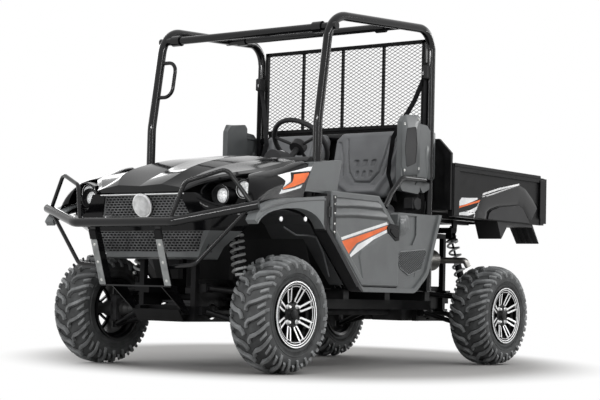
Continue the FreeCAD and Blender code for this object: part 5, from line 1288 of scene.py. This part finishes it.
class VEHICLE_OT_arches(VehicleOperator):
    """Wheel arches: folds of the fenders, creases of the liners, fastener caps and dark film bands on the sills by the
    doors.
    """

    bl_idname = "vehicle.arches"
    bl_label = "Wheel arches"

    def execute(self, context):
        fold = ridge("front_fenders", 1, 1, [(1.395, 0.818), (1.291, 0.850), (1.147, 0.879), (0.998, 0.896),
                                             (0.850, 0.908)], 0.012, 0.003, 60)
        crease = ridge("wheel_liners", 1, 1, [(1.102, 0.753), (1.057, 0.738), (0.994, 0.716), (0.880, 0.718),
                                              (0.815, 0.713), (0.746, 0.631), (0.689, 0.508)], 0.010, 0.004, 60)
        caps = [lathe([(0, 0), (0.013, 0), (0.012, 0.003), (0.006, 0.005), (0, 0.0055)], (x, DOOR_Y, z), (0, 1, 0), 20)
                for x, z in ((1.230, 0.786), (1.024, 0.796))]
        # dark film over the sill where door and fender meet
        dark_band = film("sill_trims", [(0.8075, 0.936), (0.8075, 0.757), (0.660, 0.610), (0.520, 0.468)],
                    [(0.8335, 0.936), (0.8335, 0.748), (0.680, 0.592), (0.545, 0.455)], 40, 3, 0.0006, 0.002)
        piece("fender_folds", both([fold]), "grey", "root", angle=50)
        piece("liner_creases", both([crease]), "liner", "root", angle=50)
        piece("fender_caps", both(caps), "machined", "root")
        piece("dark_sill_bands", both([dark_band]), "dull", "root")
        return {"FINISHED"}


VENT = ((0.133, 0.630), (0.107, 0.659), (-0.161, 0.682), (-0.163, 0.651), (-0.112, 0.566), (0.020, 0.532),
        (0.110, 0.569))         # x and z round the vent's opening
VENT_SLOPE, VENT_PITCH = 0.55, 0.013        # slope of the vent's strands and their distance apart in height
POCKET = ((0.122, 0.862), (0.040, 0.868), (0.022, 0.850), (0.010, 0.792), (0.050, 0.760), (0.118, 0.745))


class VEHICLE_OT_panels(VehicleOperator):
    """Side panels: a vent with a dark well, crossing strands and a rounded frame, and a stepped pocket."""

    bl_idname = "vehicle.panels"
    bl_label = "Side panels"

    def execute(self, context):
        vent = rounded_loop(VENT, 90, 0.014)
        backing = slab([(0.136, 0.700), (0.136, 0.500), (0.020, 0.485), (-0.130, 0.530), (-0.180, 0.660),
                        (-0.170, 0.700)], "xz", 0.7150, 0.7200, 0.001)
        well = slab(vent, "xz", 0.7190, 0.7222, 0.0005)
        rim = sweep(closed(np.insert(vent, 1, 0.7225, axis=1)), circle(0.0035, 8))
        strands = []
        for slope in (VENT_SLOPE, -VENT_SLOPE):
            for start in np.arange(0.36, 0.86, VENT_PITCH):
                x = np.linspace(-0.165, 0.135, 160)
                z = start + slope * (x + 0.015)
                inside = np.flatnonzero(inside_loop(x, z, vent))
                if len(inside) > 3:
                    strands.append(sweep([(x[k], 0.7235, z[k]) for k in inside[[0, -1]]], box_section(0.0014, 0.0010),
                                         up=(0, 1, 0)))
        # each step of the pocket is a raised contour inside the last
        pivot = np.array((0.125, 0.80))
        steps = [slab(rounded_loop(pivot + (np.array(POCKET) - pivot) * share, 60, 0.008 * share), "xz", 0.7215,
                      0.7215 + lift, 0.0025) for share, lift in ((1.0, 0.0030), (0.74, 0.0058), (0.48, 0.0086))]
        piece("vent_backings", both([backing]), "grey", "root")
        piece("vent_wells", both([well]), "dull", "root")
        piece("vent_frames", both([rim]), "grey", "root")
        piece("vent_mesh", both(strands), "grey", "root")
        piece("side_pockets", both(steps), "grey", "root", angle=50)
        return {"FINISHED"}


# ------------------------------------------------------------------ cab fittings
class VEHICLE_OT_shoulders(VehicleOperator):
    """Shoulder guards: raised plates with sunken windows and screws, and ribbed covers over the rear posts."""

    bl_idname = "vehicle.shoulders"
    bl_label = "Shoulder guards"

    def execute(self, context):
        plate = rounded_loop([(0.014, 1.150), (0.016, 1.402), (-0.010, 1.450), (-0.140, 1.458), (-0.166, 1.440),
                              (-0.176, 1.130), (-0.150, 1.112), (-0.010, 1.090)], 120, 0.012)
        window = rounded_loop([(-0.030, 1.372), (-0.122, 1.388), (-0.138, 1.290), (-0.124, 1.180), (-0.030, 1.150),
                               (-0.012, 1.257)], 90, 0.010)
        cover = rounded_loop([(-0.315, 1.380), (-0.365, 1.380), (-0.366, 1.110), (-0.330, 1.080), (-0.310, 1.100)], 60,
                             0.006)
        rib = rounded_loop([(-0.238, 1.266), (-0.262, 1.300), (-0.292, 1.282), (-0.309, 1.107), (-0.266, 1.092)], 60,
                           0.006)
        screws = [bolt((x, 0.6652, z), (0, 1, 0), 0.0062, 0.004)
                  for x, z in ((-0.003, 1.396), (-0.153, 1.436), (-0.010, 1.130), (-0.160, 1.150))]
        groove = sweep(closed(np.insert(window, 1, 0.6658, axis=1)), circle(0.0022, 8))
        for name, parts, finish, angle in (
                ("guard_faces", [slab(plate, "xz", 0.6585, 0.6655, 0.003)], "grey", 50),
                ("guard_windows", [slab(window, "xz", 0.6640, 0.6662, 0.0008)], "dull", 35),
                ("guard_grooves", [groove], "dull", 35),
                ("guard_screws", screws, "zinc", 35),
                ("post_covers", [slab(cover, "xz", 0.6410, 0.6490, 0.003), slab(rib, "xz", 0.6300, 0.6560, 0.004)],
                 "grey", 50)):
            piece(name, both(parts), finish, "root", angle=angle)
        return {"FINISHED"}


class VEHICLE_OT_belts(VehicleOperator):
    """Seat belts: reel, webbing up the post, over a ring and down beside the seat, and a buckle on its stalk."""

    bl_idname = "vehicle.belts"
    bl_label = "Seat belts"

    def execute(self, context):
        webs = [strap([(-0.262, 0.602, 0.980), (-0.290, 0.618, 1.100), (-0.290, 0.622, 1.640), (-0.292, 0.618, 1.720)],
                      0.044, (1, 0, 0.05)),
                strap([(-0.290, 0.616, 1.715), (-0.262, 0.560, 1.560), (-0.180, 0.470, 1.340), (-0.120, 0.480, 1.120),
                       (-0.135, 0.528, 0.960)], 0.044, (1, 0, 0.2)),
                strap([(-0.140, 0.029, 0.870), (-0.140, 0.029, 0.935)], 0.030, (1, 0, 0))]
        boxes = [brick((-0.255, 0.565, 0.915), (-0.165, 0.625, 0.985), 0.008),
                 rod((-0.210, 0.560, 0.950), (-0.210, 0.632, 0.950), 0.038, 28, 0.004),
                 brick((-0.330, 0.605, 1.690), (-0.270, 0.640, 1.770), 0.006),
                 brick((-0.160, 0.018, 0.930), (-0.120, 0.040, 1.030), 0.005)]
        metal = [sweep(arc_path([(-0.316, 0.616, 1.712), (-0.264, 0.616, 1.712), (-0.264, 0.616, 1.732),
                                 (-0.316, 0.616, 1.732), (-0.316, 0.616, 1.712)], 0.006, 5), circle(0.0032, 8)),
                 brick((-0.150, 0.020, 1.028), (-0.130, 0.036, 1.052), 0.003)]
        piece("belt_webbing", both(webs), "belt", "root")
        piece("belt_reels", both(boxes), "dull", "root")
        piece("belt_metal", both(metal), "chrome", "root")
        return {"FINISHED"}


# ------------------------------------------------------------------ cargo bed
class VEHICLE_OT_bed(VehicleOperator):
    """Cargo bed: pressed ribs of the floor, pressings and lamps of the tailgate, tie-down loops."""

    bl_idname = "vehicle.bed"
    bl_label = "Cargo bed"

    def execute(self, context):
        ribs = [ridge("bed_floor", 2, 1, [(-1.545, y), (-0.470, y)], 0.026, 0.004, 12, 7)
                for y in np.linspace(-0.60, 0.60, 11)]
        piece("floor_ribs", ribs, "black_steel", "bed", angle=50)
        frames = []
        for y0, y1 in ((-0.62, -0.26), (-0.20, 0.20), (0.26, 0.62)):
            loop = rounded_loop([(y0, 0.935), (y1, 0.935), (y1, 1.075), (y0, 1.075)], 48, 0.02)
            frames.append(ridge("tailgate", 0, -1, closed(loop), 0.012, 0.0035, 97))
        piece("tailgate_pressings", frames, "black_steel", "gate", angle=50)
        face = float(surface_at("tailgate", np.array([(0.66, 1.13)]), 0, -1)[0])
        lamp = brick((face - 0.012, 0.635, 1.098), (face + 0.001, 0.705, 1.158), 0.004)
        piece("tail_lamps", both([lamp]), "red", "gate")
        loops = [sweep(arc_path([(x - 0.03, 0.676, 0.955), (x - 0.03, 0.655, 0.955), (x + 0.03, 0.655, 0.955),
                                 (x + 0.03, 0.676, 0.955)], 0.008, 5), circle(0.004, 8)) for x in (-1.42, -0.62)]
        piece("tie_loops", both(loops), "zinc", "bed")
        return {"FINISHED"}


class VEHICLE_OT_dash(VehicleOperator):
    """Dash: round gauge, switches, glove box outline, shift lever and the two pedals."""

    bl_idname = "vehicle.dash"
    bl_label = "Dash and controls"

    def execute(self, context):
        def on_dash(y, z):
            """Point of the dash's cab side."""
            return np.array((float(surface_at("dashboard", np.array([(y, z)]), 0, -1)[0]), y, z))

        gauge = on_dash(0.25, 1.150)
        rings = [lathe([(0.046, -0.004), (0.056, -0.004), (0.055, 0.006), (0.050, 0.009), (0.046, 0.004)], gauge,
                       (-1, 0, 0.35), 40)]
        face = [lathe([(0, 0.001), (0.0462, 0.001), (0.0462, -0.006), (0, -0.006)], gauge, (-1, 0, 0.35), 40)]
        switches = []
        for y in (-0.105, -0.063, -0.021, 0.021, 0.063):
            at = on_dash(y, 1.040)
            switches.append(brick(at - (0.006, 0.015, 0.024), at + (0.003, 0.015, 0.024), 0.003))
        loop = rounded_loop([(-0.50, 0.925), (-0.20, 0.925), (-0.20, 1.085), (-0.50, 1.085)], 48, 0.02)
        box = [ridge("dashboard", 0, -1, closed(loop), 0.008, 0.003, 97)]
        lever_foot = on_dash(0.020, 0.955)
        grip = lever_foot + (-0.085, 0, 0.070)
        levers = [sweep(arc_path([lever_foot + (0.004, 0, 0), lever_foot + (-0.050, 0, 0.0), grip], 0.02, 5),
                        circle(0.006, 10)),
                  lathe([(0, -0.018), (0.012, -0.014), (0.016, 0.004), (0.012, 0.020), (0, 0.024)], grip,
                        (-0.5, 0, 1), 20)]
        pedals = []
        for y, wide in ((0.165, 0.026), (0.275, 0.036)):
            pedals.append(rod((0.735, y, 0.870), (0.700, y, 0.600), 0.007, 12))
            pedals.append(turned(brick((0.686, y - wide, 0.555), (0.696, y + wide, 0.635), 0.003), math.radians(-12),
                                 (0.691, y, 0.595)))
        piece("dash_rings", rings, "chrome", "root")
        piece("gauge_face", face, "gloss", "root")
        piece("dash_switches", switches, "gloss", "root")
        piece("glove_box_edge", box, "dull", "root", angle=50)
        piece("shift_lever", levers, "black_steel", "root")
        piece("pedals", pedals, "black_steel", "root")
        return {"FINISHED"}


# ------------------------------------------------------------------ stripes and bed sides
DOOR_STRIPES = {  # finish: pairs of edge lines in x and z
    "orange": [([(0.262, 0.798), (0.480, 0.745), (0.700, 0.694)],
                [(0.250, 0.786), (0.430, 0.731), (0.560, 0.690), (0.632, 0.630)])],
    "white": [([(0.268, 0.818), (0.470, 0.772), (0.702, 0.716)], [(0.252, 0.806), (0.470, 0.757), (0.694, 0.702)]),
              ([(0.205, 0.797), (0.420, 0.728), (0.545, 0.684), (0.622, 0.622)],
               [(0.175, 0.790), (0.400, 0.715), (0.530, 0.652), (0.612, 0.612)])],
}
SHOULDER_STRIPES = (  # colour, finish, the two edge lines, height over the shoulder: each lies on the last
    ("white", "white", [(1.190, 0.918), (1.128, 0.990), (1.160, 1.014), (0.912, 1.078)],
     [(1.188, 0.915), (1.100, 0.936), (1.010, 0.959), (0.943, 1.042), (0.907, 1.070)], 0.0008),
    ("black", "gloss", [(1.170, 0.946), (1.096, 0.986), (1.066, 1.036), (0.934, 1.052)],
     [(1.168, 0.936), (1.070, 0.953), (0.973, 0.984), (0.930, 1.044)], 0.0014),
    ("orange", "orange", [(1.160, 0.948), (1.085, 0.982), (1.053, 1.026), (0.942, 1.044)],
     [(1.160, 0.941), (1.070, 0.962), (0.982, 0.990), (0.940, 1.038)], 0.0020),
)
STRIPE_LIFT = 0.0008


class VEHICLE_OT_stripes(VehicleOperator):
    """Stripes of white, orange and black film on the doors and shoulders."""

    bl_idname = "vehicle.stripes"
    bl_label = "Stripes"

    def execute(self, context):
        for colour, edges in DOOR_STRIPES.items():
            parts = [film(door_face, one, other, lift=STRIPE_LIFT) for one, other in edges]
            for side, group in (("left", parts), ("right", [mirrored(p) for p in parts])):
                piece(f"door_stripe_{colour}_{side}", group, colour, side + "_door")
        for colour, finish, one, other, lift in SHOULDER_STRIPES:
            stripe = film("fender_shoulders", one, other, 64, 16, lift)
            piece("shoulder_stripe_" + colour, both([stripe]), finish, "root")
        return {"FINISHED"}


BED_STRIPES = {
    "white": [([(-0.502, 0.912), (-0.640, 0.934), (-0.800, 0.985), (-0.900, 1.015), (-1.010, 1.034)],
               [(-0.502, 0.900), (-0.620, 0.902), (-0.760, 0.930), (-0.850, 0.985), (-1.010, 1.028)]),
              ([(-0.502, 0.966), (-0.550, 1.006), (-0.650, 1.010), (-0.735, 1.016)],
               [(-0.502, 0.952), (-0.580, 0.965), (-0.660, 0.985), (-0.735, 1.006)]),
              ([(-0.800, 1.048), (-0.990, 1.092), (-1.250, 1.138)],
               [(-0.795, 1.034), (-0.990, 1.080), (-1.256, 1.128)]),
              ([(-0.795, 1.028), (-0.990, 1.070), (-1.270, 1.118)],
               [(-0.790, 1.022), (-0.990, 1.064), (-1.274, 1.112)])],
    "orange": [([(-0.502, 0.948), (-0.750, 1.002), (-1.000, 1.054), (-1.320, 1.108)],
                [(-0.502, 0.938), (-0.750, 0.990), (-1.000, 1.044), (-1.326, 1.100)])],
}
BED_SIDE_Y = 0.7345


class VEHICLE_OT_bed_sides(VehicleOperator):
    """Bed sides: a raised arch over a dark hollow, posts and rail, and stripes of white and orange film."""

    bl_idname = "vehicle.bed_sides"
    bl_label = "Bed sides"

    def execute(self, context):
        arch = film("bed_walls", [(-0.680, 0.893), (-0.760, 1.004), (-0.819, 1.032), (-0.990, 1.072), (-1.244, 1.128),
                                  (-1.330, 1.110), (-1.500, 1.010)],
                    [(-0.836, 0.893), (-0.850, 0.930), (-0.895, 0.957), (-0.994, 0.981), (-1.235, 1.006),
                     (-1.301, 0.987), (-1.400, 0.905)], 60, 9, 0.0002, 0.0012, 0.006)
        well = slab([(-0.850, 0.893), (-0.862, 0.926), (-0.900, 0.950), (-0.998, 0.973), (-1.230, 0.997),
                     (-1.292, 0.980), (-1.380, 0.893)], "xz", BED_SIDE_Y - 0.001, 0.7356, 0.0005)
        posts = [brick((-1.5655, BED_SIDE_Y, 0.930), (-1.510, 0.7400, 1.178), 0.002),
                 brick((-0.500, BED_SIDE_Y, 0.893), (-0.4400, 0.7390, 1.185), 0.002),
                 brick((-1.510, BED_SIDE_Y, 1.186), (-0.440, 0.7405, 1.206), 0.003)]
        piece("bed_arches", both([arch]), "gloss", "bed", angle=50)
        piece("bed_wells", both([well]), "dull", "bed")
        piece("bed_posts", both(posts), "black_steel", "bed")
        for colour, edges in BED_STRIPES.items():
            parts = [film("bed_walls", one, other, lift=STRIPE_LIFT) for one, other in edges]
            piece("bed_stripe_" + colour, both(parts), colour, "bed")
        return {"FINISHED"}


# ------------------------------------------------------------------ stage
CAMERA_AT = (7.459, 5.501, 0.423)
CAMERA_YAW, CAMERA_RISE, CAMERA_ROLL = 36.737, 3.364, 1.383
CAMERA_LENS, SENSOR = 93.588, 36.0
SHADOW_OVAL_CENTRE, SHADOW_OVAL_REACH = (-0.64, -0.48, 0.0), (3.0, 1.95, 1.0)      # painted shadow: grey oval of floor round the vehicle, outside which the floor is white
SHADOW_OVAL_FADE = (0.68, 1.0)        # shares of the oval between which the painted grey shadow fades to white
FLOOR_R, FLOOR_DROP = 30.0, 0.0005
DOME_EDGE, DOME_LEVELS = (0.42, 0.50), (0.04, 1.25)     # height of the dome's edge; light under and over it
LIGHTS = (  # name, place, aim, size, power
    ("key", (3.6, 6.4, 3.6), (0.2, 0, 0.9), (0.5, 3.6), 95),
    ("fill", (8.0, -1.5, 1.7), (0.6, 0, 0.8), (0.4, 2.6), 60),
    ("front strip", (6.0, 1.2, 2.9), (1.2, 0, 0.8), (4.0, 0.22), 95),
    ("side strip", (0.6, 5.2, 4.2), (0, 0, 0.9), (5.0, 0.18), 65),
    ("rear strip", (-4.2, 5.0, 1.6), (0, 0, 0.9), (0.16, 3.0), 35),
    ("back", (-6.5, 2.5, 3.6), (0, 0, 0.9), (3.0, 1.0), 90),
    ("far", (-2.0, -6.5, 3.4), (0, 0, 0.9), (4.5, 1.6), 70),
)


def direct_rays(tree):
    """A socket that is 1 for rays that show the background: camera, glossy and transmission rays."""
    path = add_node(tree, "LightPath", {})
    socket = path.outputs["Is Camera Ray"]
    for name in ("Is Glossy Ray", "Is Transmission Ray"):
        socket = maths(tree, "MAXIMUM", socket, path.outputs[name])
    return socket


def make_floor(scene):
    """Floor painted grey round the vehicle as a painted shadow that fades into plain white further out; it takes the
    real shadow too, and is clear from below.
    """
    # the floor's grey colour is painted shadow round the vehicle
    floor, tree, bsdf = shader("studio floor with painted shadow", (0.33, 0.325, 0.32), 0.7, spec=0.1)
    turn = (0.0, 0.0, math.radians(CAMERA_YAW))
    shadow_oval = add_node(tree, "Mapping", {"Vector": own_place(tree), "Location": SHADOW_OVAL_CENTRE, "Rotation": turn,
                                      "Scale": SHADOW_OVAL_REACH}, vector_type="TEXTURE")
    reach = add_node(tree, "VectorMath", {0: shadow_oval.outputs["Vector"]}, operation="LENGTH").outputs["Value"]
    seen = maths(tree, "MULTIPLY", direct_rays(tree), ranged(tree, reach, SHADOW_OVAL_FADE, (0.0, 1.0), "SMOOTHSTEP"))
    white, clear, side = (add_node(tree, kind, {}) for kind in ("Emission", "BsdfTransparent", "NewGeometry"))
    top = blended(tree, seen, bsdf.outputs["BSDF"], white.outputs["Emission"])
    tree.links.new(blended(tree, side.outputs["Backfacing"], top, clear.outputs["BSDF"]),
                   tree.nodes["Material Output"].inputs["Surface"])
    disc = lathe([(0.0, 0.0), (FLOOR_R, 0.0)], (0, 0, -FLOOR_DROP), (0, 0, 1), 64)
    mesh = merged_mesh("studio_floor", *disc, solid=False)
    mesh.materials.append(floor)
    ground = bpy.data.objects.new("studio_floor", mesh)
    scene.collection.objects.link(ground)


def make_world(scene):
    """World that is white where it shows, and as light is bright overhead and dim towards the horizon."""
    world = bpy.data.worlds.new("studio world")
    scene.world = world
    world.use_nodes = True
    tree = world.node_tree
    background = tree.nodes["Background"]
    background.inputs["Color"].default_value = (1, 1, 1, 1)
    direction = add_node(tree, "TexCoord", {}).outputs["Generated"]
    height = add_node(tree, "SeparateXYZ", {0: direction}).outputs["Z"]
    dome = ranged(tree, height, DOME_EDGE, DOME_LEVELS, "SMOOTHSTEP")
    level = add_node(tree, "Mix", {"Factor": direct_rays(tree), "A": dome, "B": 1.0})
    tree.links.new(level.outputs["Result"], background.inputs["Strength"])


def make_lights(scene):
    """Area lamps of the studio."""
    for name, at, aim, size, power in LIGHTS:
        lamp = bpy.data.lights.new(name, "AREA")
        lamp.shape = "RECTANGLE"
        lamp.size, lamp.size_y, lamp.energy = *size, power
        holder = bpy.data.objects.new(name, lamp)
        holder.location = at
        holder.rotation_euler = (Vector(aim) - Vector(at)).to_track_quat("-Z", "Y").to_euler()
        scene.collection.objects.link(holder)


def make_camera(scene):
    """Camera low in front of the vehicle's left corner."""
    yaw, rise, roll = (math.radians(a) for a in (CAMERA_YAW, CAMERA_RISE, CAMERA_ROLL))
    view = np.array((-math.cos(yaw) * math.cos(rise), -math.sin(yaw) * math.cos(rise), math.sin(rise)))
    right = np.cross(view, (0, 0, 1))
    right /= np.linalg.norm(right)
    up = np.cross(right, view)
    c, s = math.cos(roll), math.sin(roll)
    right, up = c * right + s * up, c * up - s * right
    camera = bpy.data.cameras.new("camera")
    camera.lens, camera.sensor_width, camera.clip_end = CAMERA_LENS, SENSOR, 200.0
    holder = bpy.data.objects.new("camera", camera)
    rows = np.stack([right, up, -view, CAMERA_AT], axis=1).tolist()
    holder.matrix_world = Matrix(rows + [(0.0, 0.0, 0.0, 1.0)])
    scene.collection.objects.link(holder)
    scene.camera = holder


class VEHICLE_OT_stage(VehicleOperator):
    """Floor, soft studio light and the camera."""

    bl_idname = "vehicle.stage"
    bl_label = "Stage"

    def execute(self, context):
        scene = context.scene
        scene.view_settings.view_transform = "Standard"
        make_floor(scene)
        make_world(scene)
        make_lights(scene)
        make_camera(scene)
        return {"FINISHED"}


OPERATORS = (VEHICLE_OT_finishes, VEHICLE_OT_tyres, VEHICLE_OT_rims, VEHICLE_OT_shocks, VEHICLE_OT_screen,
             VEHICLE_OT_grilles, VEHICLE_OT_guard, VEHICLE_OT_lamps, VEHICLE_OT_seats, VEHICLE_OT_doors,
             VEHICLE_OT_arches, VEHICLE_OT_panels, VEHICLE_OT_shoulders, VEHICLE_OT_belts, VEHICLE_OT_bed,
             VEHICLE_OT_dash, VEHICLE_OT_stripes, VEHICLE_OT_bed_sides, VEHICLE_OT_stage)


class VEHICLE_PT_panel(bpy.types.Panel):
    """Lists the vehicle's operators and settings."""

    bl_label = "Utility Vehicle"
    bl_idname = "VEHICLE_PT_panel"
    bl_space_type = "VIEW_3D"
    bl_region_type = "UI"
    bl_category = "Vehicle"

    def draw(self, context):
        for group in (context.scene.vehicle_finish, context.scene.vehicle_sizes):
            for key in group.__annotations__:
                self.layout.prop(group, key)
        for operator in OPERATORS:
            self.layout.operator(operator.bl_idname)


CLASSES = (VehicleFinish, VehicleSizes) + OPERATORS + (VEHICLE_PT_panel,)


def register():
    """Adds the classes and the scene's settings."""
    for cls in CLASSES:
        bpy.utils.register_class(cls)
    bpy.types.Scene.vehicle_finish = PointerProperty(type=VehicleFinish)
    bpy.types.Scene.vehicle_sizes = PointerProperty(type=VehicleSizes)


def unregister():
    """Removes them again."""
    del bpy.types.Scene.vehicle_sizes
    del bpy.types.Scene.vehicle_finish
    for cls in reversed(CLASSES):
        bpy.utils.unregister_class(cls)


def main():
    """Registers the add-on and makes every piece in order."""
    register()
    for operator in OPERATORS:
        group, name = operator.bl_idname.split(".")
        getattr(getattr(bpy.ops, group), name)()


if __name__ == "__main__":
    main()
